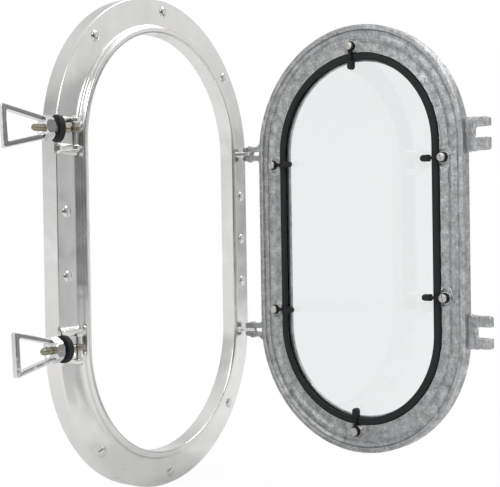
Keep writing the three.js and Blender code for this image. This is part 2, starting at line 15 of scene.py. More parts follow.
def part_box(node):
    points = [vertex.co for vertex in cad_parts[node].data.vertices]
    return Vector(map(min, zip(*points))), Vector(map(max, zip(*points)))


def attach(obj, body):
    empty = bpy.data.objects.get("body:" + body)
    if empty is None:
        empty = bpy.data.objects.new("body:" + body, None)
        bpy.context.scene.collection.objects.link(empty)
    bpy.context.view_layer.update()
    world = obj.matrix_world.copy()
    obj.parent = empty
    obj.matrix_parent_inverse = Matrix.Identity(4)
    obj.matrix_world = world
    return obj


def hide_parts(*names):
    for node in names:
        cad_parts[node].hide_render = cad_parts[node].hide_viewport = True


bl_info = {
    "name": "Opening porthole",
    "version": (1, 0, 0),
    "blender": (4, 5, 0),
    "location": "3D View > Sidebar > Porthole",
    "description": "Builds the castings, glazing, dogs and fastenings of an opening porthole",
    "category": "Add Mesh",
}

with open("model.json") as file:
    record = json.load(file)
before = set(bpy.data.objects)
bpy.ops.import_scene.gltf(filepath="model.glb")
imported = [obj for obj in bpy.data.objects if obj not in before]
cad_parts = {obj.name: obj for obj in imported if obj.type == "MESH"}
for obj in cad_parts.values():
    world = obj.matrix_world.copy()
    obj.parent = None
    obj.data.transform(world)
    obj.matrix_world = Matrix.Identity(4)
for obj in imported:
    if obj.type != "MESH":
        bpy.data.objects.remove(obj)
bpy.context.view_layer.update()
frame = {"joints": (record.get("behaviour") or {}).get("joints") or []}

MM = 0.001
DOGS = ("upper", "lower")
CLIPS = ("top", "bottom", "hinge_upper", "hinge_lower", "fork_upper", "fork_lower")
FLANGE_SCREWS = tuple(f"flange_screw_{i:02d}" for i in range(1, 12))
JOINTS = {joint["name"]: joint for joint in frame["joints"]}

# A colour Mix node's sockets, by number because its names repeat.
MIX_A, MIX_B, MIX_RESULT = 6, 7, 2

# Turns for solids made around +Z. STAND takes +Z to the room and FACE_WALL takes it to the
# wall; ALONG_BOLT takes it along a swing bolt, whose own axis is +X.
STAND = Matrix.Rotation(math.radians(90), 4, "X")
FACE_WALL = Matrix.Rotation(math.radians(-90), 4, "X")
ALONG_BOLT = Matrix.Rotation(math.radians(90), 4, "Y")

# Fits between pieces, in millimetres.
PIN_RADII = {"hinge": 2.5, "dog": 2.8}
BORE_PLAY = 0.3
PIN_HEAD = 1.6
LUG_RADIUS = 5.5
LUG_FOOT = (3.4, 31.0)               # outer edge to the foot's two ends
TONGUE_RADIUS = 6
TONGUE_FOOT = (-12, 9)               # hinge axis to the foot's two ends
TONGUE_HALF = 2.4
ARM_HALF = 3.375
ARM_PLAY = 0.35
ARM_START = 7                        # door edge inwards
ARM_OVERRUN = 12                     # past the hinge axis
FORKS = {"upper": (122.5, 124.5), "lower": (-111.0, -111.0)}     # plate, slot heights
FORK_ROOT = 7                        # door edge to the slot's root
FORK_OVERHANG = 5                    # past the dogs' pins
SEAT_PLAY = 0.3                      # gasket to the casting, and to the glass
BACK_LEG = 3.9
FRONT_LEG = 1.6
GLASS_GRIP = 5.1
GRIP_PLAY = 0.12
WASHER_SPAN = (16.6, 23.6)           # pivot to the near and far faces
EYE_RADIUS = 7.0
NUT_START = 27.5                     # pivot to the nut's near face
STIRRUP_HALVES = (12.0, 24.0)        # half the stirrup's width at the nut and the crossbar
STIRRUP_ROLLS = {"upper": 6.0, "lower": 3.0}                     # degrees about the bolt
FULL_TURN = 6.28


# ------------------------------------------------------------ places from the frame


def node_span(node):
    """A node's lowest and highest corners in millimetres."""
    low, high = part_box(node)
    return Vector(low) / MM, Vector(high) / MM


def node_centre(node):
    low, high = node_span(node)
    return (low + high) / 2


def door_matrix():
    """Turns the closed door about its hinge to where the frame holds it."""
    hinge = JOINTS["door_hinge"]
    axis = Vector(hinge["pos_m"]) / MM
    turn = Matrix.Rotation(math.radians(-hinge["range_deg"][0]), 4, "Z")
    return Matrix.Translation(axis) @ turn @ Matrix.Translation(-axis)


def dog_matrix(name):
    """Carries a dog from its own axes, bolt along +X and pin along Z, to its place."""
    pivot = node_centre(f"dog_pin_{name}")
    height = node_centre(f"swing_bolt_{name}").z
    inward = Vector(JOINTS[f"dog_advance_{name}"]["axis"])
    angle = math.atan2(-inward.y, -inward.x)
    place = Matrix.Translation((pivot.x, pivot.y, height))
    return place @ Matrix.Rotation(angle, 4, "Z")


DOOR = door_matrix()
RING_LOW, RING_HIGH = node_span("ring_frame")


# ------------------------------------------------------------ outlines and solids


def rounded(corners, steps=4):
    """An outline whose corners, given as (x, y, radius), are turned into arcs."""
    points = []
    count = len(corners)
    for i, (x, y, radius) in enumerate(corners):
        here = Vector((x, y))
        back = Vector(corners[i - 1][:2]) - here
        ahead = Vector(corners[(i + 1) % count][:2]) - here
        if radius <= 0:
            points.append(here)
            continue
        half = back.angle(ahead) / 2
        reach = min(radius / math.tan(half), back.length * 0.49, ahead.length * 0.49)
        true_radius = reach * math.tan(half)
        middle = (back.normalized() + ahead.normalized()).normalized()
        centre = here + middle * (true_radius / math.sin(half))
        start = here + back.normalized() * reach - centre
        stop = here + ahead.normalized() * reach - centre
        bend = start.angle(stop)
        for k in range(steps + 1):
            share = k / steps
            near = math.sin((1 - share) * bend) / math.sin(bend)
            far = math.sin(share * bend) / math.sin(bend)
            points.append(centre + start * near + stop * far)
    return points


def loft(rows):
    """A closed solid through rows of equal length, with its two ends capped."""
    solid = bmesh.new()
    loops = [[solid.verts.new(point) for point in row] for row in rows]
    count = len(loops[0])
    for one, two in zip(loops, loops[1:]):
        for i in range(count):
            j = (i + 1) % count
            solid.faces.new((one[i], one[j], two[j], two[i]))
    solid.faces.new(loops[0])
    solid.faces.new(loops[-1])
    return outward(solid)


def outward(solid):
    """Merges doubles and turns every face outwards."""
    bmesh.ops.remove_doubles(solid, verts=solid.verts, dist=1e-4)
    bmesh.ops.recalc_face_normals(solid, faces=solid.faces)
    return solid


def turned(profile, segments=48):
    """A solid turned about Z from (radius, height) points; both ends lie on the axis."""
    solid = bmesh.new()
    inner = profile[1:-1]
    low = solid.verts.new((0, 0, profile[0][1]))
    high = solid.verts.new((0, 0, profile[-1][1]))
    rings = []
    for radius, height in inner:
        angles = [2 * math.pi * k / segments for k in range(segments)]
        rings.append([
            solid.verts.new((radius * math.cos(a), radius * math.sin(a), height)) for a in angles
        ])
    for k in range(segments):
        j = (k + 1) % segments
        solid.faces.new((low, rings[0][j], rings[0][k]))
        solid.faces.new((high, rings[-1][k], rings[-1][j]))
        for one, two in zip(rings, rings[1:]):
            solid.faces.new((one[k], one[j], two[j], two[k]))
    return outward(solid)


def turned_ring(profile, segments=64):
    """A ring turned about Z from a closed loop of (radius, height) points."""
    solid = bmesh.new()
    rings = []
    for radius, height in profile:
        angles = [2 * math.pi * k / segments for k in range(segments)]
        rings.append([
            solid.verts.new((radius * math.cos(a), radius * math.sin(a), height)) for a in angles
        ])
    for one, two in zip(rings, rings[1:] + rings[:1]):
        for k in range(segments):
            j = (k + 1) % segments
            solid.faces.new((one[k], one[j], two[j], two[k]))
    return outward(solid)


def plate(outline, thickness, holes=(), edge=0.0):
    """A plate in XY from z = 0 up, with its holes as reversed loops and broken edges."""
    solid = bmesh.new()
    loops = [outline, *holes]
    edges = []
    for loop in loops:
        corners = [solid.verts.new((x, y, 0)) for x, y in loop]
        for i, corner in enumerate(corners):
            edges.append(solid.edges.new((corner, corners[(i + 1) % len(corners)])))
    bmesh.ops.triangle_fill(solid, edges=edges, use_beauty=True)
    bmesh.ops.dissolve_limit(solid, angle_limit=0.01, verts=solid.verts, edges=solid.edges)
    faces = list(solid.faces)
    moved = bmesh.ops.extrude_face_region(solid, geom=faces)["geom"]
    bmesh.ops.translate(
        solid, vec=(0, 0, thickness), verts=[v for v in moved if isinstance(v, bmesh.types.BMVert)],
    )
    outward(solid)
    if edge:
        rims = [e for e in solid.edges if len(e.link_faces) == 2 and e.calc_face_angle(0) > 1.2
                and abs(e.verts[0].co.z - e.verts[1].co.z) < 1e-6]
        bmesh.ops.bevel(
            solid, geom=rims, offset=edge, segments=3, profile=0.5, affect="EDGES",
            clamp_overlap=True,
        )
    return solid


def moved(solid, matrix):
    bmesh.ops.transform(solid, matrix=matrix, verts=solid.verts)
    return solid


def gathered(*solids):
    """Several solids in one mesh, none of them touching another."""
    whole = bmesh.new()
    for solid in solids:
        carrier = bpy.data.meshes.new("carrier")
        solid.to_mesh(carrier)
        solid.free()
        whole.from_mesh(carrier)
        bpy.data.meshes.remove(carrier)
    return whole


def mesh_object(name, solid):
    """A solid as a linked object; the solid is used up."""
    mesh = bpy.data.meshes.new(name)
    solid.to_mesh(mesh)
    solid.free()
    holder = bpy.data.objects.new(name, mesh)
    bpy.context.scene.collection.objects.link(holder)
    return holder


def discard(holder):
    data = holder.data
    bpy.data.objects.remove(holder)
    if isinstance(data, bpy.types.Mesh):
        bpy.data.meshes.remove(data)
    else:
        bpy.data.curves.remove(data)


def plain_mesh(holder):
    """What the holder's modifiers make of it, as a mesh with none left."""
    seen = holder.evaluated_get(bpy.context.evaluated_depsgraph_get())
    return bpy.data.meshes.new_from_object(seen)


def combined(base, tool, operation):
    """Two closed solids joined or cut; both are used up."""
    holder = mesh_object("combined_base", base)
    cutter = mesh_object("combined_tool", tool)
    step = holder.modifiers.new("Combine", "BOOLEAN")
    step.operation = operation
    step.solver = "EXACT"
    step.object = cutter
    mesh = plain_mesh(holder)
    result = bmesh.new()
    result.from_mesh(mesh)
    bpy.data.meshes.remove(mesh)
    discard(holder)
    discard(cutter)
    bmesh.ops.remove_doubles(result, verts=result.verts, dist=2e-3)
    bmesh.ops.dissolve_degenerate(result, edges=result.edges, dist=1e-3)
    return result


def rough_cast(solid, region, coarse, fine, seed):
    """Pushes the vertices of a region in and out, as sand casting leaves them.

    region(point) gives how rough a place is, from 0 to 1.
    """
    solid.normal_update()
    shift = Vector((seed * 7.3, seed * 3.1, seed * 5.7))
    for vert in solid.verts:
        share = region(vert.co)
        if share > 0:
            lumps = noise.noise(vert.co * 0.11 + shift) * coarse
            grit = noise.noise(vert.co * 0.55 + shift) * fine
            vert.co += vert.normal * (share * (lumps + grit))
    return solid


# ------------------------------------------------------------ geometry node trees


def sockets(tree, inputs, outputs):
    """Adds a tree's named inputs and outputs: (name, kind, default or None)."""
    for direction, rows in (("INPUT", inputs), ("OUTPUT", outputs)):
        for name, kind, default in rows:
            socket = tree.interface.new_socket(name, in_out=direction, socket_type=kind)
            if default is not None:
                socket.default_value = default


def wire(tree, *pairs):
    """Links (node, output) to (node, input) pairs, sockets given by name or number."""
    for source, out, target, into in pairs:
        tree.links.new(source.outputs[out], target.inputs[into])


def oval_section_tree():
    """Carries a closed section round a closed loop of edges."""
    tree = bpy.data.node_groups.new("Oval section", "GeometryNodeTree")
    sockets(
        tree,
        (("Path", "NodeSocketGeometry", None), ("Section", "NodeSocketObject", None),
         ("Finish", "NodeSocketMaterial", None)),
        (("Geometry", "NodeSocketGeometry", None),),
    )
    make = tree.nodes.new
    given = make("NodeGroupInput")
    path = make("GeometryNodeMeshToCurve")
    upright = make("GeometryNodeSetCurveNormal")
    upright.mode = "Z_UP"
    section = make("GeometryNodeObjectInfo")
    skin = make("GeometryNodeCurveToMesh")
    real = make("GeometryNodeRealizeInstances")
    finish = make("GeometryNodeSetMaterial")
    result = make("NodeGroupOutput")
    wire(
        tree,
        (given, "Path", path, "Mesh"), (path, "Curve", upright, "Curve"),
        (upright, "Curve", skin, "Curve"), (given, "Section", section, "Object"),
        (section, "Geometry", skin, "Profile Curve"), (skin, "Mesh", real, "Geometry"),
        (real, "Geometry", finish, "Geometry"), (given, "Finish", finish, "Material"),
        (finish, "Geometry", result, "Geometry"),
    )
    return tree


def set_out_tree():
    """Sets a template on every point, facing as the point says, with a random turn."""
    tree = bpy.data.node_groups.new("Set out", "GeometryNodeTree")
    sockets(
        tree,
        (("Points", "NodeSocketGeometry", None), ("Template", "NodeSocketObject", None),
         ("Size", "NodeSocketFloat", 1.0), ("Turn Spread", "NodeSocketFloat", 0.0),
         ("Seed", "NodeSocketInt", 0), ("Finish", "NodeSocketMaterial", None)),
        (("Geometry", "NodeSocketGeometry", None),),
    )
    make = tree.nodes.new
    given = make("NodeGroupInput")
    template = make("GeometryNodeObjectInfo")
    facing = make("GeometryNodeInputNamedAttribute")
    facing.data_type = "FLOAT_VECTOR"
    facing.inputs["Name"].default_value = "facing"
    chance = make("FunctionNodeRandomValue")
    chance.data_type = "FLOAT"
    spin = make("ShaderNodeCombineXYZ")
    first = make("FunctionNodeEulerToRotation")
    second = make("FunctionNodeEulerToRotation")
    both = make("FunctionNodeRotateRotation")
    both.rotation_space = "LOCAL"
    placed = make("GeometryNodeInstanceOnPoints")
    real = make("GeometryNodeRealizeInstances")
    finish = make("GeometryNodeSetMaterial")
    result = make("NodeGroupOutput")
    wire(
        tree,
        (given, "Points", placed, "Points"), (given, "Template", template, "Object"),
        (template, "Geometry", placed, "Instance"), (given, "Size", placed, "Scale"),
        (given, "Turn Spread", chance, 3), (given, "Seed", chance, "Seed"),
        (chance, 1, spin, "Z"), (facing, "Attribute", first, "Euler"),
        (spin, "Vector", second, "Euler"), (first, "Rotation", both, "Rotation"),
        (second, "Rotation", both, "Rotate By"), (both, "Rotation", placed, "Rotation"),
        (placed, "Instances", real, "Geometry"), (real, "Geometry", finish, "Geometry"),
        (given, "Finish", finish, "Material"), (finish, "Geometry", result, "Geometry"),
    )
    return tree


def thread_tree():
    """Winds a screw thread on a rod that stands along Z."""
    tree = bpy.data.node_groups.new("Screw thread", "GeometryNodeTree")
    sockets(
        tree,
        (("Rod", "NodeSocketGeometry", None), ("Pitch", "NodeSocketFloat", 1.25),
         ("Turns", "NodeSocketFloat", 20.0), ("Radius", "NodeSocketFloat", 4.0),
         ("Ridge", "NodeSocketFloat", 0.5), ("Start", "NodeSocketFloat", 0.0),
         ("Finish", "NodeSocketMaterial", None)),
        (("Geometry", "NodeSocketGeometry", None),),
    )
    make = tree.nodes.new
    given = make("NodeGroupInput")
    length = make("ShaderNodeMath")
    length.operation = "MULTIPLY"
    helix = make("GeometryNodeCurveSpiral")
    helix.inputs["Resolution"].default_value = 20
    ridge = make("GeometryNodeCurvePrimitiveCircle")
    ridge.inputs["Resolution"].default_value = 5
    skin = make("GeometryNodeCurveToMesh")
    skin.inputs["Fill Caps"].default_value = True
    lift = make("ShaderNodeCombineXYZ")
    raised = make("GeometryNodeTransform")
    both = make("GeometryNodeJoinGeometry")
    real = make("GeometryNodeRealizeInstances")
    finish = make("GeometryNodeSetMaterial")
    result = make("NodeGroupOutput")
    wire(
        tree,
        (given, "Pitch", length, 0), (given, "Turns", length, 1),
        (given, "Turns", helix, "Rotations"), (given, "Radius", helix, "Start Radius"),
        (given, "Radius", helix, "End Radius"), (length, 0, helix, "Height"),
        (given, "Ridge", ridge, "Radius"), (helix, "Curve", skin, "Curve"),
        (ridge, "Curve", skin, "Profile Curve"), (given, "Start", lift, "Z"),
        (skin, "Mesh", raised, "Geometry"), (lift, "Vector", raised, "Translation"),
        (raised, "Geometry", both, "Geometry"), (given, "Rod", both, "Geometry"),
        (both, "Geometry", real, "Geometry"), (real, "Geometry", finish, "Geometry"),
        (given, "Finish", finish, "Material"), (finish, "Geometry", result, "Geometry"),
    )
    return tree


TREES = {}


def tree_named(name):
    """The geometry node tree of this name, built the first time it is asked for."""
    makers = {"section": oval_section_tree, "set_out": set_out_tree, "thread": thread_tree}
    if name not in TREES:
        TREES[name] = makers[name]()
    return TREES[name]


def grown(holder, tree_name, **values):
    """Runs a tree on a holder and gives its result as a solid; the holder is used up."""
    tree = tree_named(tree_name)
    wanted = {key.replace("_", " ").title(): value for key, value in values.items()}
    step = holder.modifiers.new("Grow", "NODES")
    step.node_group = tree
    for item in tree.interface.items_tree:
        if item.in_out == "INPUT" and item.name in wanted:
            step[item.identifier] = wanted[item.name]
    mesh = plain_mesh(holder)
    solid = bmesh.new()
    solid.from_mesh(mesh)
    bpy.data.meshes.remove(mesh)
    discard(holder)
    return outward(solid)


def oval_loop(radius, straight, arcs, runs):
    """A closed loop of edges round an oval that lies in XY, long way along Y."""
    places = []
    for start, centre in ((0.0, straight), (math.pi, -straight)):
        for i in range(arcs):
            angle = start + math.pi * i / arcs
            places.append((radius * math.cos(angle), centre + radius * math.sin(angle), 0))
        side = radius * math.cos(start + math.pi)
        for i in range(runs):
            places.append((side, centre * (1 - 2 * i / runs), 0))
    count = len(places)
    mesh = bpy.data.meshes.new("oval_loop")
    mesh.from_pydata(places, [(i, (i + 1) % count) for i in range(count)], [])
    holder = bpy.data.objects.new("oval_loop", mesh)
    bpy.context.scene.collection.objects.link(holder)
    return holder


def oval_ring(outline, straight, finish, arcs=60, runs=44):
    """A closed (radius, y) outline carried round the oval, in the frame's axes."""
    middle = sum(point[0] for point in outline) / len(outline)
    curve = bpy.data.curves.new("section", "CURVE")
    curve.dimensions = "3D"
    spline = curve.splines.new("POLY")
    spline.points.add(len(outline) - 1)
    for target, (radius, y) in zip(spline.points, outline):
        target.co = (radius - middle, y, 0, 1)
    spline.use_cyclic_u = True
    section = bpy.data.objects.new("section", curve)
    bpy.context.scene.collection.objects.link(section)
    loop = oval_loop(middle, straight, arcs, runs)
    solid = grown(loop, "section", section=section, finish=finish)
    discard(section)
    return moved(solid, STAND)


def set_out(template, places, finish, spread=0.0, seed=1):
    """Copies of a template at places, each a point and the way it faces."""
    pattern = mesh_object("template", template)
    points = bpy.data.meshes.new("places")
    points.from_pydata([place for place, _ in places], [], [])
    facing = points.attributes.new("facing", "FLOAT_VECTOR", "POINT")
    facing.data.foreach_set("vector", [value for _, turn in places for value in turn])
    holder = bpy.data.objects.new("places", points)
    bpy.context.scene.collection.objects.link(holder)
    solid = grown(
        holder, "set_out", template=pattern, turn_spread=spread, seed=seed, finish=finish,
    )
    discard(pattern)
    return solid


# ------------------------------------------------------------ materials


def feed(tree, socket, value):
    """Gives an input its value, or links it to a (node, output) pair."""
    if isinstance(value, tuple) and isinstance(value[0], bpy.types.Node):
        tree.links.new(value[0].outputs[value[1]], socket)
    else:
        socket.default_value = value


def node(tree, kind, inputs=None, **settings):
    """A new node with its settings made and its inputs fed."""
    step = tree.nodes.new(kind)
    for name, value in settings.items():
        setattr(step, name, value)
    for name, value in (inputs or {}).items():
        feed(tree, step.inputs[name], value)
    return step


def shade_group(name, inputs, outputs):
    """An empty shader group with its input and output nodes."""
    tree = bpy.data.node_groups.new(name, "ShaderNodeTree")
    sockets(tree, inputs, outputs)
    return tree, tree.nodes.new("NodeGroupInput"), tree.nodes.new("NodeGroupOutput")


def sum_of(tree, one, two, operation="ADD"):
    """A math node over two (node, output) pairs."""
    return node(tree, "ShaderNodeMath", {0: one, 1: two}, operation=operation), 0


def mixed(tree, factor, one, two, blend="MIX"):
    """A colour mix; each part is a value or a (node, output) pair."""
    parts = {"Factor": factor, MIX_A: one, MIX_B: two}
    return node(tree, "ShaderNodeMix", parts, data_type="RGBA", blend_type=blend), MIX_RESULT


def noise_node(tree, place, size, detail=3.0, roughness=0.55, distortion=0.0):
    """Noise whose grain is `size` across; size is metres or a (node, output) pair."""
    if isinstance(size, tuple):
        scale = node(tree, "ShaderNodeMath", {0: 1.0, 1: size}, operation="DIVIDE"), 0
    else:
        scale = 1.0 / size
    return node(tree, "ShaderNodeTexNoise", {
        "Vector": place, "Scale": scale, "Detail": detail, "Roughness": roughness,
        "Distortion": distortion,
    })


def mapped(tree, source, low, high, out_low=0.0, out_high=1.0):
    """Stretches a value between low and high to the output range, clamped."""
    return node(tree, "ShaderNodeMapRange", {
        "Value": source, "From Min": low, "From Max": high, "To Min": out_low, "To Max": out_high,
    }, clamp=True), "Result"


def cast_grain_group():
    """Sand-cast skin: lumps, grit and pits as a height, and a blotchy tone."""
    tree, given, result = shade_group(
        "Sand-cast skin",
        (("Position", "NodeSocketVector", None), ("Lump Size", "NodeSocketFloat", 0.012),
         ("Grit Size", "NodeSocketFloat", 0.0025), ("Grit Share", "NodeSocketFloat", 0.5)),
        (("Height", "NodeSocketFloat", None), ("Mottle", "NodeSocketFloat", None)),
    )
    place = (given, "Position")
    lumps = noise_node(tree, place, (given, "Lump Size"), 4.0, 0.6)
    grit = noise_node(tree, place, (given, "Grit Size"), 5.0, 0.7)
    pits = node(
        tree, "ShaderNodeTexVoronoi", {"Scale": 420.0, "Vector": place}, feature="SMOOTH_F1",
    )
    weighted = sum_of(tree, (grit, "Fac"), (given, "Grit Share"), "MULTIPLY")
    pitted = sum_of(tree, (pits, "Distance"), (given, "Grit Share"), "MULTIPLY")
    height = sum_of(tree, sum_of(tree, (lumps, "Fac"), weighted), pitted)
    tone = sum_of(tree, (lumps, "Fac"), (grit, "Fac"), "MULTIPLY")
    mottle = mapped(tree, tone, 0.15, 0.38)
    feed(tree, result.inputs["Height"], height)
    feed(tree, result.inputs["Mottle"], mottle)
    return tree


def rubbed_edge_and_highlight_group():
    """Finds edges by comparing the face's normal with a rounded one, as a mask for rubbed wear and
    painted highlights along them.
    """
    tree, given, result = shade_group(
        "Rubbed edges and painted highlights",
        (("Position", "NodeSocketVector", None), ("Reach", "NodeSocketFloat", 0.001),
         ("Breakup", "NodeSocketFloat", 0.5)),
        (("Mask", "NodeSocketFloat", None),),
    )
    eased = node(tree, "ShaderNodeBevel", {"Radius": (given, "Reach")}, samples=4), "Normal"
    surface = node(tree, "ShaderNodeNewGeometry"), "Normal"
    likeness = node(tree, "ShaderNodeVectorMath", {0: eased, 1: surface}, operation="DOT_PRODUCT")
    edge = mapped(tree, (likeness, "Value"), 0.99, 0.86)
    patches = noise_node(tree, (given, "Position"), 0.004, 4.0)
    broken = mapped(tree, (patches, "Fac"), (given, "Breakup"), 0.75)
    kept = sum_of(tree, edge, broken, "MULTIPLY")
    feed(tree, result.inputs["Mask"], mapped(tree, sum_of(tree, kept, edge), 0.2, 1.4))
    return tree


def polish_group():
    """Buffed metal: slow waves and fine scratches as a height, and hazy patches."""
    tree, given, result = shade_group(
        "Buffed skin",
        (("Position", "NodeSocketVector", None), ("Wave Size", "NodeSocketFloat", 0.05),
         ("Scratch Share", "NodeSocketFloat", 0.1)),
        (("Height", "NodeSocketFloat", None), ("Haze", "NodeSocketFloat", None)),
    )
    waves = noise_node(tree, (given, "Position"), (given, "Wave Size"), 1.0, 0.4, 0.6)
    stretch = node(tree, "ShaderNodeMapping", {
        "Scale": (1.0, 1.0, 0.04), "Rotation": (0.0, 0.12, 0.0), "Vector": (given, "Position"),
    })
    scratches = noise_node(tree, (stretch, "Vector"), 0.0011, 2.0, 0.6)
    fine = sum_of(tree, (scratches, "Fac"), (given, "Scratch Share"), "MULTIPLY")
    height = sum_of(tree, (waves, "Fac"), fine)
    patches = noise_node(tree, (given, "Position"), 0.035, 5.0, 0.65)
    haze = mapped(tree, sum_of(tree, (patches, "Fac"), fine), 0.35, 0.75)
    feed(tree, result.inputs["Height"], height)
    feed(tree, result.inputs["Haze"], haze)
    return tree


def dust_group():
    """Pale dust and finger marks in soft-edged patches."""
    tree, given, result = shade_group(
        "Dust and finger marks",
        (("Position", "NodeSocketVector", None), ("Patch Size", "NodeSocketFloat", 0.02),
         ("Cover", "NodeSocketFloat", 0.4)),
        (("Mask", "NodeSocketFloat", None),),
    )
    patches = noise_node(tree, (given, "Position"), (given, "Patch Size"), 6.0, 0.7, 0.3)
    specks = noise_node(tree, (given, "Position"), 0.0008, 2.0, 0.5)
    both = sum_of(tree, (patches, "Fac"), (specks, "Fac"), "MULTIPLY")
    cover = sum_of(tree, both, (given, "Cover"), "MULTIPLY")
    feed(tree, result.inputs["Mask"], mapped(tree, cover, 0.02, 0.3))
    return tree


GROUPS = {}


def group_named(name):
    """The shader group of this name, built the first time it is asked for."""
    makers = {
        "cast": cast_grain_group, "edges": rubbed_edge_and_highlight_group,
        "polish": polish_group, "dust": dust_group,
    }
    if name not in GROUPS:
        GROUPS[name] = makers[name]()
    return GROUPS[name]


class Finish:
    """A material while its nodes are being wired."""

    def __init__(self, name, **constants):
        self.material = bpy.data.materials.new(name)
        self.material.use_nodes = True
        self.tree = self.material.node_tree
        self.tree.nodes.clear()
        values = {socket.replace("_", " "): value for socket, value in constants.items()}
        self.surface = node(self.tree, "ShaderNodeBsdfPrincipled", values)
        node(self.tree, "ShaderNodeOutputMaterial", {"Surface": (self.surface, "BSDF")})
        self.place = node(self.tree, "ShaderNodeTexCoord"), "Object"

    def effect(self, group, **values):
        """Places a shader group with its own values."""
        values = {socket.replace("_", " ").title(): value for socket, value in values.items()}
        values["Position"] = self.place
        return node(self.tree, "ShaderNodeGroup", values, node_tree=group_named(group))

    def mix(self, factor, *colours):
        """Mixes two colours; each is a colour or a (node, output) pair."""
        solid = [
            colour if isinstance(colour[0], bpy.types.Node) else (*colour[:3], 1.0)
            for colour in colours
        ]
        return mixed(self.tree, factor, *solid)

    def feed(self, socket, source):
        feed(self.tree, self.surface.inputs[socket], source)

    def bump(self, source, depth, strength):
        """Raises the surface by a height, `depth` metres from 0 to 1."""
        values = {"Distance": depth, "Strength": strength, "Height": source}
        self.feed("Normal", (node(self.tree, "ShaderNodeBump", values), "Normal"))

    def rough(self, source, low, high):
        self.feed("Roughness", mapped(self.tree, source, 0.0, 1.0, low, high))


def shaded(colour, factor):
    """A colour made darker or lighter."""
    return tuple(min(channel * factor, 1.0) for channel in colour[:3])


def polished_aluminium(colours):
    tone = colours.aluminium
    finish = Finish("polished_aluminium", Metallic=1.0)
    polish = finish.effect("polish", wave_size=0.045, scratch_share=0.02)
    edges = finish.effect("edges", reach=0.0012, breakup=0.35)
    hazy = finish.mix((polish, "Haze"), tone, shaded(tone, 0.93))
    # Edges a little lighter: rubbed wear and a painted highlight.
    finish.feed("Base Color", finish.mix((edges, "Mask"), hazy, shaded(tone, 1.06)))
    finish.rough((polish, "Haze"), 0.16, 0.30)
    finish.bump((polish, "Height"), 0.0011, 0.55)
    return finish.material


def polished_steel(colours):
    tone = colours.screw_steel
    finish = Finish("polished_steel", Metallic=1.0)
    polish = finish.effect("polish", wave_size=0.008, scratch_share=0.05)
    dust = finish.effect("dust", patch_size=0.006, cover=0.35)
    finish.feed("Base Color", finish.mix((dust, "Mask"), tone, shaded(tone, 0.75)))
    finish.rough((polish, "Haze"), 0.08, 0.22)
    finish.bump((polish, "Height"), 0.00012, 0.5)
    return finish.material


def cast_aluminium(colours):
    tone = colours.casting
    finish = Finish("cast_aluminium", Metallic=1.0)
    skin = finish.effect("cast", lump_size=0.010, grit_size=0.0026, grit_share=0.45)
    edges = finish.effect("edges", reach=0.0022, breakup=0.42)
    dust = finish.effect("dust", patch_size=0.03, cover=0.5)
    mottled = finish.mix((skin, "Mottle"), shaded(tone, 0.42), shaded(tone, 1.45))
    dusted = finish.mix((dust, "Mask"), mottled, shaded(tone, 0.9))
    # Edges almost twice as light: rubbed wear and a painted highlight on the ridges.
    finish.feed("Base Color", finish.mix((edges, "Mask"), dusted, shaded(tone, 1.95)))
    finish.rough((skin, "Mottle"), 0.52, 0.34)
    finish.bump((skin, "Height"), 0.0009, 0.8)
    return finish.material


def black_rubber(colours):
    tone = colours.rubber
    finish = Finish("black_rubber", Metallic=0.0, Specular_IOR_Level=0.22)
    skin = finish.effect("cast", lump_size=0.004, grit_size=0.0007, grit_share=0.6)
    dust = finish.effect("dust", patch_size=0.012, cover=0.45)
    edges = finish.effect("edges", reach=0.0009, breakup=0.5)
    dusty = finish.mix((dust, "Mask"), tone, shaded(tone, 1.4))
    # Edges lighter: rubbed wear and a painted highlight on the rubber.
    finish.feed("Base Color", finish.mix((edges, "Mask"), dusty, shaded(tone, 1.8)))
    finish.rough((skin, "Mottle"), 0.62, 0.44)
    finish.bump((skin, "Height"), 0.00012, 0.6)
    return finish.material


def clear_glass(colours):
    finish = Finish(
        "clear_glass", Metallic=0.0, Transmission_Weight=1.0, IOR=1.5,
    )
    tone = colours.glass
    dust = finish.effect("dust", patch_size=0.06, cover=0.22)
    finish.feed("Base Color", finish.mix((dust, "Mask"), tone, shaded(tone, 0.985)))
    finish.rough((dust, "Mask"), 0.0, 0.03)
    return finish.material


def dark_steel(colours):
    tone = colours.clip_steel
    finish = Finish("dark_steel", Metallic=1.0)
    skin = finish.effect("cast", lump_size=0.003, grit_size=0.0008, grit_share=0.4)
    edges = finish.effect("edges", reach=0.0006, breakup=0.3)
    mottled = finish.mix((skin, "Mottle"), shaded(tone, 0.7), shaded(tone, 1.5))
    # Edges six times lighter: a painted highlight on the blackened steel, with rubbed wear.
    finish.feed("Base Color", finish.mix((edges, "Mask"), mottled, shaded(tone, 6.0)))
    finish.rough((skin, "Mottle"), 0.5, 0.3)
    finish.bump((skin, "Height"), 0.00015, 0.5)
    return finish.material


def zinc_steel(colours):
    tone = colours.zinc
    finish = Finish("zinc_steel", Metallic=1.0)
    skin = finish.effect("cast", lump_size=0.002, grit_size=0.0006, grit_share=0.3)
    edges = finish.effect("edges", reach=0.0006, breakup=0.35)
    spangle = finish.mix((skin, "Mottle"), shaded(tone, 0.72), shaded(tone, 1.18))
    # Edges lighter: rubbed wear and a painted highlight on the zinc.
    finish.feed("Base Color", finish.mix((edges, "Mask"), spangle, shaded(tone, 1.4)))
    finish.rough((skin, "Mottle"), 0.42, 0.22)
    finish.bump((skin, "Height"), 0.00012, 0.5)
    return finish.material


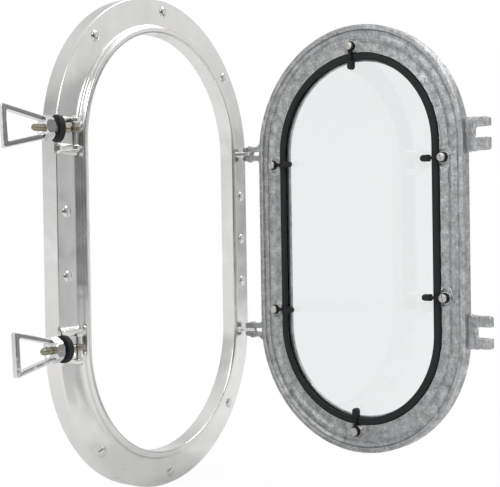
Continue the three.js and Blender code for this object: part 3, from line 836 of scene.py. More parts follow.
def nickel_steel(colours):
    tone = colours.nickel
    finish = Finish("nickel_steel", Metallic=1.0)
    polish = finish.effect("polish", wave_size=0.006, scratch_share=0.2)
    edges = finish.effect("edges", reach=0.0005, breakup=0.3)
    dust = finish.effect("dust", patch_size=0.005, cover=0.8)
    dull = finish.mix((dust, "Mask"), tone, shaded(tone, 0.55))
    # Edges lighter: rubbed wear and a painted highlight on the nickel.
    finish.feed("Base Color", finish.mix((edges, "Mask"), dull, shaded(tone, 1.5)))
    finish.rough((polish, "Haze"), 0.18, 0.36)
    finish.bump((polish, "Height"), 0.0001, 0.5)
    return finish.material


def bright_chrome(colours):
    tone = colours.chrome
    finish = Finish("bright_chrome", Metallic=1.0)
    polish = finish.effect("polish", wave_size=0.012, scratch_share=0.03)
    dust = finish.effect("dust", patch_size=0.015, cover=0.3)
    finish.feed("Base Color", finish.mix((dust, "Mask"), tone, shaded(tone, 0.82)))
    finish.rough((polish, "Haze"), 0.05, 0.16)
    finish.bump((polish, "Height"), 0.0003, 0.6)
    return finish.material


FINISHES = {}


def finish_named(slot):
    """The finish of a material slot, made the first time it is asked for."""
    makers = {
        "polished_aluminium": polished_aluminium, "polished_steel": polished_steel,
        "cast_aluminium": cast_aluminium, "black_rubber": black_rubber,
        "clear_glass": clear_glass, "dark_steel": dark_steel, "zinc_steel": zinc_steel,
        "nickel_steel": nickel_steel, "bright_chrome": bright_chrome,
    }
    if slot not in FINISHES:
        FINISHES[slot] = makers[slot](bpy.context.scene.porthole_finish)
    return FINISHES[slot]


def finished(name, solid, slot, body, nodes, place=None, crease=32.0):
    """Brings a solid to its place, in metres, and hands it to the frame as a piece."""
    moved(solid, Matrix.Scale(MM, 4) @ (place or Matrix.Identity(4)))
    limit = math.radians(crease)
    for face in solid.faces:
        face.smooth = True
        face.material_index = 0
    for edge in solid.edges:
        edge.smooth = len(edge.link_faces) == 2 and edge.calc_face_angle(0.0) < limit
    thing = mesh_object(name, solid)
    thing.data.materials.clear()
    thing.data.materials.append(finish_named(slot))
    weights = thing.modifiers.new("Even shading", "WEIGHTED_NORMAL")
    weights.keep_sharp = True
    mesh = plain_mesh(thing)
    thing.modifiers.clear()
    rough_mesh = thing.data
    thing.data = mesh
    bpy.data.meshes.remove(rough_mesh)
    mesh.name = name
    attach(thing, body)
    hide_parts(*nodes)
    return thing


# ------------------------------------------------------------ what a user would change


def length(name, description, default):
    """A length in metres, shown in the scene's unit."""
    return bpy.props.FloatProperty(
        name=name, description=description, default=default, min=0.0, precision=5,
        subtype="DISTANCE", unit="LENGTH",
    )


def tone(name, description, default):
    return bpy.props.FloatVectorProperty(
        name=name, description=description, default=default, size=3, min=0.0, max=1.0,
        subtype="COLOR",
    )


class PortholeFrameSizes(bpy.types.PropertyGroup):
    """Sizes of the frame casting and its lugs."""

    flange_width: length("Flange width", "Outer edge to the opening", 0.044)
    flange_thickness: length("Flange thickness", "Thickness of the flange plate", 0.006)
    skirt_thickness: length("Skirt thickness", "Wall that stands on the hull", 0.006)
    face_depth: length("Face depth", "Back plane to the flange face", 0.022)
    rim_width: length("Rim width", "Width of the raised rim", 0.0085)
    rim_height: length("Rim height", "Height of the rim above the flange", 0.008)
    spigot_depth: length("Spigot depth", "Flange face to the end of the opening's wall", 0.013)
    lug_thickness: length("Lug thickness", "Thickness of each dog lug", 0.006)
    lug_gap: length("Lug gap", "Space between a pair of dog lugs", 0.024)
    foot_fillet: length("Foot fillet", "Cast radius where a lug meets the flange", 0.006)
    tongue_thickness: length("Tongue thickness", "Thickness of each hinge tongue", 0.0048)


class PortholeDoorSizes(bpy.types.PropertyGroup):
    """Sizes of the door casting and its glazing."""

    half_width: length("Half width", "Centre line to the door's edge", 0.158)
    back_lift: length("Back face", "Back plane of the frame to the door's back face", 0.0346)
    thickness: length("Thickness", "Back face to the room face", 0.0205)
    band: length("Back band", "Flat band round the back of the door", 0.006)
    channel: length("Channel", "Depth of the cast channel", 0.0056)
    gasket_inset: length("Gasket inset", "Door edge to the gasket", 0.035)
    gasket_width: length("Gasket width", "Width of the rubber bead", 0.009)
    gasket_proud: length("Gasket stand", "Bead above the channel floor", 0.0038)
    glass_thickness: length("Glass thickness", "Thickness of the pane", 0.005)
    fork_width: length("Fork width", "Width of each fork over both prongs", 0.039)
    fork_slot: length("Fork slot", "Width of the slot that takes the bolt", 0.013)
    fork_thickness: length("Fork thickness", "Thickness of the fork plate", 0.008)
    lump_height: length("Casting lumps", "Height of the slow lumps on the back", 0.00045)
    grit_height: length("Casting grit", "Height of the coarse grit on the back", 0.00028)


class PortholeFittingSizes(bpy.types.PropertyGroup):
    """Sizes of the dogs, clips and fastenings."""

    bolt_radius: length("Bolt radius", "Radius of the swing bolt", 0.004)
    bolt_length: length("Bolt length", "Pivot to the bolt's tip", 0.050)
    thread_pitch: length("Thread pitch", "Advance of the bolt's thread in a turn", 0.00125)
    washer_radius: length("Washer radius", "Radius of the rubber washer", 0.015)
    nut_radius: length("Nut radius", "Centre to a corner of the hexagon", 0.0142)
    nut_thickness: length("Nut thickness", "Thickness of the hexagon", 0.0105)
    handle_reach: length("Handle reach", "Pivot to the far side of the crossbar", 0.084)
    handle_bar: length("Handle bar", "Width of the stirrup's bar", 0.0055)
    handle_depth: length("Handle depth", "Depth of the stirrup's bar", 0.008)
    screw_head: length("Flange screw head", "Radius of the domed heads", 0.0066)
    clip_head: length("Clip screw head", "Radius of the clip screws' heads", 0.0052)
    clip_width: length("Clip width", "Width of the clip's bar", 0.005)
    tip_width: length("Tip width", "Width of the rubber tip", 0.008)


class PortholeFinish(bpy.types.PropertyGroup):
    """Colours of the metals, the rubber and the glass."""

    aluminium: tone("Polished aluminium", "Buffed frame casting", (0.88, 0.872, 0.858))
    screw_steel: tone("Flange screws", "Polished screw heads", (0.78, 0.77, 0.76))
    casting: tone("Raw casting", "Sand-cast door", (0.505, 0.512, 0.52))
    rubber: tone("Rubber", "Gasket, tips and washers", (0.016, 0.018, 0.019))
    glass: tone("Glass", "Tint of the pane", (0.83, 0.862, 0.862))
    clip_steel: tone("Clip steel", "Blackened clips", (0.030, 0.031, 0.032))
    zinc: tone("Zinc plate", "Clip screws and pins", (0.66, 0.66, 0.63))
    nickel: tone("Nickel plate", "Swing bolts", (0.46, 0.43, 0.33))
    chrome: tone("Chrome", "Handle nuts", (0.86, 0.86, 0.87))


SETTINGS = {
    "porthole_frame": PortholeFrameSizes,
    "porthole_door": PortholeDoorSizes,
    "porthole_fittings": PortholeFittingSizes,
    "porthole_finish": PortholeFinish,
}


class InMillimetres:
    """Reads a group of lengths in millimetres."""

    def __init__(self, group):
        self.group = group

    def __getattr__(self, name):
        return getattr(self.group, name) / MM


# ------------------------------------------------------------ frame casting


def straight_half():
    """Half the straight side, which frame, door and gasket share."""
    return (RING_HIGH.z - RING_LOW.z) / 2 - ring_half_width()


def ring_half_width():
    return -RING_LOW.x


def standing_rows(centre, low, high, left, right, half, fillet, corner):
    """Rows of a lug from its foot at `low` to its tip at `high`, both y, going outwards.

    left(y) and right(y) give its sides, half is half its thickness, and the foot flares
    by `fillet` on every side. The tip's edges are rounded by `corner`.
    """
    rows = []
    span = abs(high - low)
    steps = 30
    for i in range(steps + 1):
        rise = span * i / steps
        y = low + math.copysign(rise, high - low)
        flare = 0.0
        if rise < fillet:
            flare = fillet - math.sqrt(fillet ** 2 - (fillet - rise) ** 2)
        left_x, right_x = left(y), right(y)
        over = max(0.0, corner - (span - rise))
        trim = corner - math.sqrt(max(corner ** 2 - over ** 2, 0.0))
        half_x = max((right_x - left_x) / 2 + flare - trim * 0.4, corner * 0.7)
        half_z = half + flare - trim
        round_off = min(corner + flare * 0.8, half_x * 0.95, half_z * 0.95)
        outline = rounded([
            (-half_x, -half_z, round_off), (half_x, -half_z, round_off),
            (half_x, half_z, round_off), (-half_x, half_z, round_off),
        ], steps=4)
        middle = (left_x + right_x) / 2
        rows.append([(middle + x, y, centre + z) for x, z in outline])
    return rows


def lug(centre, pivot, radius, foot, half, fillet, corner=1.4):
    """A cast lug standing on the flange, tapering to a round tip about its pivot."""
    face = -InMillimetres(bpy.context.scene.porthole_frame).face_depth
    tip = pivot.y - radius

    def side(y, foot_x, sign):
        if y <= pivot.y:
            return pivot.x + sign * math.sqrt(max(radius ** 2 - (y - pivot.y) ** 2, 0.0))
        share = (face - y) / (face - pivot.y)
        return foot_x + (pivot.x + sign * radius - foot_x) * min(max(share, 0.0), 1.0)

    return loft(standing_rows(
        centre, face + 0.8, tip, lambda y: side(y, foot[0], -1), lambda y: side(y, foot[1], 1),
        half, fillet, corner,
    ))


def ring_outline(sizes):
    """The frame's section as rounded (radius, y) corners."""
    outer = ring_half_width()
    opening = outer - sizes.flange_width
    rim = opening + sizes.rim_width
    face = -sizes.face_depth
    back = face + sizes.flange_thickness
    skirt = outer - sizes.skirt_thickness
    spigot = opening + sizes.skirt_thickness
    tip = face - sizes.rim_height
    return rounded([
        (outer, 0, 0.8), (skirt, 0, 0.8), (skirt, back, 2.5), (spigot, back, 2.5),
        (spigot, face + sizes.spigot_depth, 0.8), (opening, face + sizes.spigot_depth, 0.8),
        (opening, tip, 2.4), (rim, tip, 2.6), (rim, face, 3.4), (outer, face, 1.3),
    ])


def pin_bore(x, y, radius, low, high):
    bore = turned([(0, low), (radius, low), (radius, high), (0, high)], 32)
    return moved(bore, Matrix.Translation((x, y, 0)))


def countersink(place, head, shank, depth, sink):
    """A flange screw's hole, from above the face into the flange."""
    hole = turned([(0, -4), (head, -4), (head, 0), (shank, sink), (shank, depth), (0, depth)], 32)
    return moved(hole, Matrix.Translation(place) @ FACE_WALL)


def flange_places():
    face = -InMillimetres(bpy.context.scene.porthole_frame).face_depth
    centres = [node_centre(node) for node in FLANGE_SCREWS]
    return [Vector((centre.x, face, centre.z)) for centre in centres]


def build_frame():
    """The frame casting with its dog lugs, hinge tongues, countersinks and bores."""
    sizes = InMillimetres(bpy.context.scene.porthole_frame)
    polished = finish_named("polished_aluminium")
    ring = oval_ring(ring_outline(sizes), straight_half(), polished, arcs=128, runs=30)
    outer = ring_half_width()
    added = []
    cuts = []
    for name in DOGS:
        pin = node_centre(f"dog_pin_{name}")
        offset = (sizes.lug_gap + sizes.lug_thickness) / 2
        for z in (pin.z - offset, pin.z + offset):
            foot = [end - outer for end in LUG_FOOT]
            half = sizes.lug_thickness / 2
            added.append(lug(z, pin, LUG_RADIUS, foot, half, sizes.foot_fillet))
        reach = sizes.lug_gap / 2 + sizes.lug_thickness + 2
        bore = PIN_RADII["dog"] + BORE_PLAY
        cuts.append(pin_bore(pin.x, pin.y, bore, pin.z - reach, pin.z + reach))
        pin = node_centre(f"hinge_pin_{name}")
        foot = [pin.x + end for end in TONGUE_FOOT]
        half = sizes.tongue_thickness / 2
        added.append(lug(pin.z, pin, TONGUE_RADIUS, foot, half, sizes.foot_fillet * 0.5, 0.8))
        bore = PIN_RADII["hinge"] + BORE_PLAY
        cuts.append(pin_bore(pin.x, pin.y, bore, pin.z - 5, pin.z + 5))
    cuts += [countersink(place, 6.9, 2.7, 18.3, 3.4) for place in flange_places()]
    casting = combined(ring, gathered(*added), "UNION")
    casting = combined(casting, gathered(*cuts), "DIFFERENCE")
    finished("frame_casting", casting, "polished_aluminium", "frame", ["ring_frame"])


def build_flange_screws():
    """The eleven domed countersunk screws."""
    head = InMillimetres(bpy.context.scene.porthole_fittings).screw_head
    dome = 2.2
    profile = [(0, dome)]
    for k in range(1, 9):
        angle = math.radians(90 * k / 9)
        profile.append((head * math.sin(angle), dome * math.cos(angle)))
    profile += [(head, -0.25), (2.4, -3.4), (2.4, -17.4), (1.8, -18), (0, -18)]
    facing = (math.radians(90), 0.0, 0.0)
    places = [(tuple(place), facing) for place in flange_places()]
    steel = finish_named("polished_steel")
    screws = set_out(turned(profile, 40), places, steel, spread=FULL_TURN, seed=4)
    finished("flange_screws", screws, "polished_steel", "frame", FLANGE_SCREWS, crease=50)


# ------------------------------------------------------------ door casting


def door_places():
    """Each clip's screw on the closed door: its name, x, z and inward direction."""
    back = DOOR.inverted()
    straight = straight_half()
    places = {}
    for name in CLIPS:
        low, high = node_span(f"clip_screw_{name}")
        centre = back @ ((low + high) / 2)
        beyond = math.copysign(max(abs(centre.z) - straight, 0.0), centre.z)
        places[name] = (centre.x, centre.z, math.atan2(-beyond, -centre.x))
    return places


def door_outline(sizes):
    edge = sizes.half_width
    back = -sizes.back_lift
    front = back - sizes.thickness
    floor = back - sizes.channel
    band = edge - sizes.band
    seat = edge - sizes.gasket_inset + SEAT_PLAY
    lip = edge - sizes.gasket_inset - sizes.gasket_width - 1.5
    lip_back = back - 13.2
    return rounded([
        (edge, back - 0.2, 1.4), (edge - 2.2, back, 1.5), (band, back, 1.1),
        (band - 1.7, back - 3.7, 1.5), (band - 5.2, floor + 0.15, 2.5),
        (band - 9.0, back - 4.4, 2.2), (band - 12.5, back - 4.5, 2.2),
        (band - 17.5, floor - 0.7, 4.0), (seat, floor, 0.8), (seat, lip_back, 0.5),
        (lip, lip_back, 1.0), (lip, front + 3, 2.0), (lip + 5, front, 5.0),
        (lip + 22, front - 1.8, 14.0), (edge - 8, front, 7.0), (edge - 2, front + 2.5, 3.0),
        (edge, front + 5.5, 3.0),
    ])


def clip_boss(place, height, floor):
    """A rough cast boss under a clip's screw, flared into the channel."""
    x, z, _ = place
    profile = [
        (0, floor - 4), (13.2, floor - 4), (13.2, floor - 0.4), (11.4, floor + 0.2),
        (9.6, floor + 1.2), (8.6, floor + 2.4), (8.0, height - 0.6), (7.3, height), (0, height),
    ]
    boss = turned(profile, 36)
    return moved(boss, Matrix.Translation((x, 0, z)) @ FACE_WALL)


def fork_plate(sizes, middle, slot, tip, root, back):
    """The slotted plate of a fork, with its prongs rounded and its root flared."""
    start = -sizes.half_width + 6
    edge = -sizes.half_width
    low, high = middle - sizes.fork_width / 2, middle + sizes.fork_width / 2
    half = sizes.fork_slot / 2
    outline = rounded([
        (start, high + 1.5, 0), (edge + 0.5, high + 1.5, 2.0), (edge - 4, high, 4.0),
        (tip, high, 3.4), (tip, slot + half, 1.2), (root, slot + half, half * 0.5),
        (root, slot - half, half * 0.5), (tip, slot - half, 1.2), (tip, low, 3.4),
        (edge - 4, low, 4.0), (edge + 0.5, low - 1.5, 2.0), (start, low - 1.5, 0),
    ], steps=6)
    solid = plate([tuple(point) for point in outline], sizes.fork_thickness, edge=1.1)
    return moved(solid, Matrix.Translation((0, back, 0)) @ STAND)


def fork_web(sizes, middle, back):
    """The thicker step where a fork leaves the door's edge."""
    edge = -sizes.half_width
    half = sizes.fork_width / 2
    floor = -sizes.back_lift - sizes.channel - 3
    section = [
        (edge + 6, back - 3, 0), (edge + 6, floor, 0), (edge - 1.5, floor - 0.6, 2.0),
        (edge - 5.2, floor - 3.2, 2.5), (edge - 8.6, back + 0.6, 2.0), (edge - 10.5, back - 1, 0),
        (edge - 10.5, back - 3, 0),
    ]
    outline = rounded(section, steps=4)
    rows = []
    for share in (-1.0, -0.985, -0.94, -0.86, -0.5, 0.0, 0.5, 0.86, 0.94, 0.985, 1.0):
        drop = 2.4 * max(0.0, abs(share) - 0.82) / 0.18
        rows.append([
            (x, y if y <= back - 0.9 else max(y - drop, back - 0.9), middle + share * (half + 1.0))
            for x, y in outline
        ])
    return loft(rows)


def hinge_arms(pin):
    """The pair of arms that hold a hinge pin, flared where they leave the door."""
    arms = []
    half = ARM_HALF
    spacing = TONGUE_HALF + ARM_PLAY + half
    start = InMillimetres(bpy.context.scene.porthole_door).half_width - ARM_START
    end = pin.x + ARM_OVERRUN
    corner_radius = 5
    for sign in (-1, 1):
        rows = []
        steps = 34
        for i in range(steps + 1):
            x = start + (end - start) * i / steps
            over = max(0.0, x - (end - corner_radius))
            nose = corner_radius - math.sqrt(max(corner_radius ** 2 - over ** 2, 0.0))
            flare = 3.6 * max(0.0, 1 - (x - start - 7) / 6.5) ** 2 if x > start + 7 else 3.6
            room = pin.y - 5.5 + nose - flare * 0.4
            wall = pin.y + 5.0 - nose * 0.8 - (2.0 * (end - x) / (end - start))
            inner = pin.z + sign * (spacing - half)
            outer = pin.z + sign * (spacing + half + flare) - sign * nose * 0.25
            low, high = min(inner, outer), max(inner, outer)
            wide = max((wall - room) / 2, 0.8)
            tall = (high - low) / 2
            corner = min(1.2, wide * 0.9, tall * 0.9)
            outline = rounded([
                (-wide, -tall, corner), (wide, -tall, corner),
                (wide, tall, corner), (-wide, tall, corner),
            ], steps=3)
            middle_y, middle_z = (room + wall) / 2, (low + high) / 2
            rows.append([(x, middle_y + a, middle_z + b) for a, b in outline])
        arms.append(loft(rows))
    return arms


def build_door():
    """The door casting with its bosses, forks, hinge arms and rough back."""
    sizes = InMillimetres(bpy.context.scene.porthole_door)
    back = -sizes.back_lift
    casting = oval_ring(
        door_outline(sizes), straight_half(), finish_named("cast_aluminium"), arcs=120, runs=64,
    )
    places = door_places()
    seat = sizes.half_width - sizes.gasket_inset + SEAT_PLAY
    bosses = gathered(*[clip_boss(place, back - 1.5, back - 5.6) for place in places.values()])
    room = oval_ring(
        [(seat - 24, back + 6), (seat, back + 6), (seat, back - 30), (seat - 24, back - 30)],
        straight_half(), finish_named("cast_aluminium"), arcs=60, runs=8,
    )
    bosses = combined(bosses, room, "DIFFERENCE")
    casting = combined(casting, bosses, "UNION")

    straight = straight_half()

    def roughness(point):
        """How rough the casting is: most in the channel, least on the outer wall."""
        beyond = max(abs(point.z) - straight, 0.0)
        radius = math.hypot(point.x, beyond)
        if point.y < back - 9 or radius < seat + 0.4:
            return 0.0
        near = min(math.hypot(point.x - x, point.z - z) for x, z, _ in places.values())
        lumpy = 1.0 + 1.3 * max(0.0, 1 - abs(near - 12) / 8)
        return (0.35 if radius > sizes.half_width - sizes.band - 0.5 else 1.0) * lumpy

    casting = rough_cast(casting, roughness, sizes.lump_height, sizes.grit_height, 3)

    added = []
    pivot = node_centre("dog_pin_upper")
    fork_back = pivot.y - LUG_RADIUS - BORE_PLAY
    tip = pivot.x - FORK_OVERHANG
    root = -sizes.half_width - FORK_ROOT
    webs = []
    for middle, slot in FORKS.values():
        added.append(fork_plate(sizes, middle, slot, tip, root, fork_back))
        webs.append(fork_web(sizes, middle, fork_back))
    for name in DOGS:
        added += hinge_arms(node_centre(f"hinge_pin_{name}"))
    casting = combined(casting, gathered(*added), "UNION")
    slots = []
    for _, slot in FORKS.values():
        solid = pin_bore(root - sizes.fork_slot / 2, 0, sizes.fork_slot / 2, -12, 12)
        slots.append(moved(solid, Matrix.Translation((0, fork_back, slot)) @ STAND))
    webs = combined(gathered(*webs), gathered(*slots), "DIFFERENCE")
    casting = combined(casting, webs, "UNION")
    cuts = []
    for name in DOGS:
        pin = node_centre(f"hinge_pin_{name}")
        bore = PIN_RADII["hinge"] + BORE_PLAY
        cuts.append(pin_bore(pin.x, pin.y, bore, pin.z - 16, pin.z + 16))
    for x, z, _ in places.values():
        hole = turned([(0, -10.6), (2.3, -10.6), (2.3, 4), (0, 4)], 20)
        cuts.append(moved(hole, Matrix.Translation((x, back, z)) @ FACE_WALL))
    casting = combined(casting, gathered(*cuts), "DIFFERENCE")
    finished("door_casting", casting, "cast_aluminium", "door", ["door_frame"], DOOR)


# ------------------------------------------------------------ glazing


def build_glazing():
    """The rubber gasket with its rounded beads, and the pane that it grips."""
    sizes = InMillimetres(bpy.context.scene.porthole_door)
    outer = sizes.half_width - sizes.gasket_inset
    inner = outer - sizes.gasket_width
    back = -sizes.back_lift - sizes.channel + sizes.gasket_proud
    pane_back = back - BACK_LEG - SEAT_PLAY
    pane_front = pane_back - sizes.glass_thickness
    front = pane_front - SEAT_PLAY - FRONT_LEG
    grip = inner + GLASS_GRIP + SEAT_PLAY
    bead = rounded([
        (outer, back, 3.0), (outer, front, 0.6), (inner, front, 0.9),
        (inner, pane_front - GRIP_PLAY, 0.4), (grip, pane_front - GRIP_PLAY, 0),
        (grip, pane_back + GRIP_PLAY, 0),
        (inner, pane_back + GRIP_PLAY, 0.5), (inner, back, 3.0),
    ], steps=6)
    rubber = finish_named("black_rubber")
    gasket = oval_ring(bead, straight_half(), rubber, arcs=72, runs=40)
    finished("glazing_gasket", gasket, "black_rubber", "door", ["glass_gasket"], DOOR, 40)

    radius = inner + GLASS_GRIP
    straight = straight_half()
    outline = []
    for start, centre in ((0.0, straight), (math.pi, -straight)):
        for k in range(73):
            angle = start + math.pi * k / 72
            outline.append((radius * math.cos(angle), centre + radius * math.sin(angle)))
    pane = plate(outline, sizes.glass_thickness, edge=0.4)
    moved(pane, Matrix.Translation((0, pane_back, 0)) @ STAND)
    finished("glass_pane", pane, "clear_glass", "door", ["glass"], DOOR)


# ------------------------------------------------------------ glazing clips


def clip_template(sizes):
    """A clip in its own axes: the eye round Z, the bar along +X, Z away from the door."""
    half = sizes.clip_width / 2
    eye = 6.5
    meet = math.acos(min(half * 1.25 / eye, 1.0))
    outline = []
    for k in range(29):
        angle = (math.pi / 2 - meet) + (2 * math.pi - 2 * (math.pi / 2 - meet)) * k / 28
        outline.append((eye * math.cos(angle), eye * math.sin(angle)))
    outline += [(8.2, -half * 0.82), (13, -half * 0.8), (19, -half), (26, -half)]
    outline += [(26, half), (19, half), (13, half * 0.8), (8.2, half * 0.82)]
    hole = [
        (2.3 * math.cos(math.radians(20 * k)), 2.3 * math.sin(math.radians(20 * k)))
        for k in range(18)
    ]
    clip = plate(outline, 2.5, holes=[hole], edge=0.45)
    return moved(clip, Matrix.Translation((0, 0, -1.2)))


def tip_template(sizes):
    """A rubber tip in the clip's axes, domed on top and rounded at its end."""
    half = sizes.tip_width / 2
    outline = [(18.7, -half)]
    for k in range(17):
        angle = math.radians(-90 + 180 * k / 16)
        outline.append((26 + half * math.cos(angle), half * math.sin(angle)))
    outline.append((18.7, half))
    block = plate(outline, 8.7, edge=1.7)
    moved(block, Matrix.Translation((0, 0, -5.7)))
    pocket = plate([(12, -2.8), (26.3, -2.8), (26.3, 2.8), (12, 2.8)], 3.1)
    return combined(block, moved(pocket, Matrix.Translation((0, 0, -1.5))), "DIFFERENCE")


def clip_screw_template(sizes):
    """A slotted screw, its head seated on the clip."""
    head = sizes.clip_head
    top = 5.2
    profile = [
        (0, -9.5), (1.6, -9.5), (2.0, -9.1), (2.0, 1.6), (head - 0.2, 1.6), (head, 1.8),
        (head, top - 0.9), (head - 0.25, top - 0.4), (head - 0.8, top - 0.12),
        (head * 0.5, top), (0, top + 0.05),
    ]
    screw = turned(profile, 40)
    slot = plate([(-8, -0.55), (8, -0.55), (8, 0.55), (-8, 0.55)], 3)
    return combined(screw, moved(slot, Matrix.Translation((0, 0, top - 1.0))), "DIFFERENCE")


def build_clips():
    """The six glazing clips, their rubber tips and their screws."""
    sizes = InMillimetres(bpy.context.scene.porthole_fittings)
    back = -InMillimetres(bpy.context.scene.porthole_door).back_lift
    towards_wall = math.radians(-90)
    places = [
        ((x, back, z), (towards_wall, -inward, 0.0)) for x, z, inward in door_places().values()
    ]
    kinds = (
        ("clips", "dark_steel", "clip_", clip_template, 0.0),
        ("clip_tips", "black_rubber", "clip_tip_", tip_template, 0.0),
        ("clip_screws", "zinc_steel", "clip_screw_", clip_screw_template, FULL_TURN),
    )
    for name, slot, prefix, template, spread in kinds:
        solid = set_out(template(sizes), places, finish_named(slot), spread, seed=11)
        nodes = [prefix + clip for clip in CLIPS]
        finished(name, solid, slot, "door", nodes, DOOR, 38)


# ------------------------------------------------------------ pins


def headed_pin(low, high, radius):
    """An upright pin with a shallow turned head at each end."""
    head = radius + 1.4
    return turned([
        (0, low - PIN_HEAD), (radius - 0.3, low - PIN_HEAD), (head - 0.5, low - 1.2), (head, low - 0.6),
        (head, low - 0.1), (head - 0.2, low), (radius, low), (radius, high),
        (head - 0.2, high), (head, high + 0.1), (head, high + 0.6), (head - 0.5, high + 1.2),
        (radius - 0.3, high + PIN_HEAD), (0, high + PIN_HEAD),
    ], 40)


def build_pins():
    """The pins of the two hinges and of the two dogs."""
    for kind, radius in PIN_RADII.items():
        for name in DOGS:
            node = f"{kind}_pin_{name}"
            low, high = node_span(node)
            middle = (low + high) / 2
            pin = headed_pin(low.z + PIN_HEAD, high.z - PIN_HEAD, radius)
            moved(pin, Matrix.Translation((middle.x, middle.y, 0)))
            finished(f"{kind}_pin_{name}_turned", pin, "zinc_steel", "frame", [node], None, 40)


# ------------------------------------------------------------ dogs


def swing_bolt(sizes):
    """An eye bolt in its own axes, with its thread wound along the shank."""
    radius = sizes.bolt_radius
    core = radius - 0.45
    end = sizes.bolt_length
    shank = turned([
        (0, 5.2), (radius, 5.2), (radius, 14.6), (core, 15.4), (core, end - 2.6),
        (core - 0.9, end - 0.7), (core - 2.1, end), (0, end),
    ], 32)
    pitch = sizes.thread_pitch
    turns = (end - 2.6 - 16.0) / pitch
    nickel = finish_named("nickel_steel")
    threaded = grown(
        mesh_object("rod", shank), "thread", pitch=pitch, turns=turns, radius=core,
        ridge=0.44, start=16.0, finish=nickel,
    )
    half = 3.0
    eye = turned([
        (0, -half), (EYE_RADIUS - 0.6, -half), (EYE_RADIUS, -half + 0.6),
        (EYE_RADIUS, half - 0.6), (EYE_RADIUS - 0.6, half), (0, half),
    ], 48)
    bore = turned([(0, -5), (3.1, -5), (3.1, 5), (0, 5)], 32)
    eye = combined(eye, bore, "DIFFERENCE")
    return gathered(eye, moved(threaded, ALONG_BOLT))


def build_swing_bolts():
    """The two threaded eye bolts."""
    sizes = InMillimetres(bpy.context.scene.porthole_fittings)
    for name in DOGS:
        node = f"swing_bolt_{name}"
        place = dog_matrix(name)
        finished(f"eye_bolt_{name}", swing_bolt(sizes), "nickel_steel", node, [node], place, 50)


def build_washers():
    """The dished rubber washers behind the handle nuts."""
    radius = InMillimetres(bpy.context.scene.porthole_fittings).washer_radius
    near, far = WASHER_SPAN
    outline = rounded([
        (4.3, near, 0.3), (radius - 1.2, near, 1.6), (radius, near + 1.6, 1.0),
        (radius, far, 1.3), (radius - 2.6, far, 1.0), (radius - 4.6, far - 2.0, 1.6),
        (8.0, far - 2.3, 0.8), (4.3, far - 2.2, 0.3),
    ], steps=4)
    for name in DOGS:
        washer = moved(turned_ring([tuple(p) for p in outline]), ALONG_BOLT)
        nodes = [f"rubber_washer_{name}"]
        body = f"washer_{name}"
        finished(f"dished_washer_{name}", washer, "black_rubber", body, nodes, dog_matrix(name), 50)


def hexagon_nut(sizes, start):
    """A hexagon nut along Z, its corners chamfered on both faces."""
    radius = sizes.nut_radius
    thick = sizes.nut_thickness
    corners = [
        (radius * math.cos(math.radians(60 * k)), radius * math.sin(math.radians(60 * k)), 0.5)
        for k in range(6)
    ]
    prism = plate([tuple(p) for p in rounded(corners, 3)], thick)
    chamfer = turned([
        (0, -0.2), (radius * 0.87, -0.2), (radius * 0.9, 0.05), (radius + 0.1, 2.4),
        (radius + 0.1, thick - 2.4), (radius * 0.9, thick - 0.05), (radius * 0.87, thick + 0.2),
        (0, thick + 0.2),
    ], 64)
    recess = turned([
        (0, thick - 1.8), (radius * 0.5, thick - 1.8), (radius * 0.68, thick + 0.3), (0, thick + 0.3),
    ], 64)
    nut = combined(combined(prism, chamfer, "INTERSECT"), recess, "DIFFERENCE")
    return moved(nut, Matrix.Translation((0, 0, start)))


def stirrup(sizes, near, far):
    """The stirrup in the plane of X and Z: two spreading arms and a crossbar."""
    near_half, far_half = STIRRUP_HALVES
    bar = sizes.handle_bar
    slope = (far_half - near_half) / (far - near)
    thick = bar * math.hypot(1, slope)

    def half_at(x):
        return near_half + slope * (x - near)

    start = near + 0.01
    outline = rounded([
        (start, -near_half, 0), (far, -far_half, 2.0), (far, far_half, 2.0),
        (start, near_half, 0), (start, near_half - thick, 0),
        (far - bar, half_at(far - bar) - thick, 1.2),
        (far - bar, -half_at(far - bar) + thick, 1.2), (start, -near_half + thick, 0),
    ], steps=4)
    flat = plate([tuple(p) for p in outline], sizes.handle_depth, edge=1.15)
    return moved(flat, Matrix.Translation((0, sizes.handle_depth / 2, 0)) @ STAND)


def build_handles():
    """The two handle nuts with their stirrups."""
    sizes = InMillimetres(bpy.context.scene.porthole_fittings)
    start = NUT_START
    for name in DOGS:
        nut = moved(hexagon_nut(sizes, start), ALONG_BOLT)
        near = start + sizes.nut_thickness - 2.0
        handle = combined(nut, stirrup(sizes, near, sizes.handle_reach), "UNION")
        end = start + sizes.nut_thickness + 3
        bore = turned([(0, start - 3), (4.35, start - 3), (4.35, end), (0, end)], 40)
        handle = combined(handle, moved(bore, ALONG_BOLT), "DIFFERENCE")
        roll = Matrix.Rotation(math.radians(STIRRUP_ROLLS[name]), 4, "X")
        body = f"handle_{name}"
        nodes = [f"handle_nut_{name}"]
        place = dog_matrix(name) @ roll
        finished(f"stirrup_handle_{name}", handle, "bright_chrome", body, nodes, place, 28)


# ------------------------------------------------------------ stage

CAMERA_PLACE = Vector((-0.9644, -0.7761, 0.0128))
CAMERA_HEADING = 0.995
CAMERA_PITCH = -0.013
CAMERA_ROLL = -0.016
CAMERA_LENS = 69.74
FLOOR_GAP = 0.0006
FLOOR_THICKNESS = 40
FLOOR_GLOW = 0.97
# Each socket's grey where metal mirrors the floor, and where it is looked at.
FLOOR_TONES = (("Base Color", 0.82, 0.03), ("Emission Color", 0.0, 1.0))
FLOOR_RADIUS = 3.0
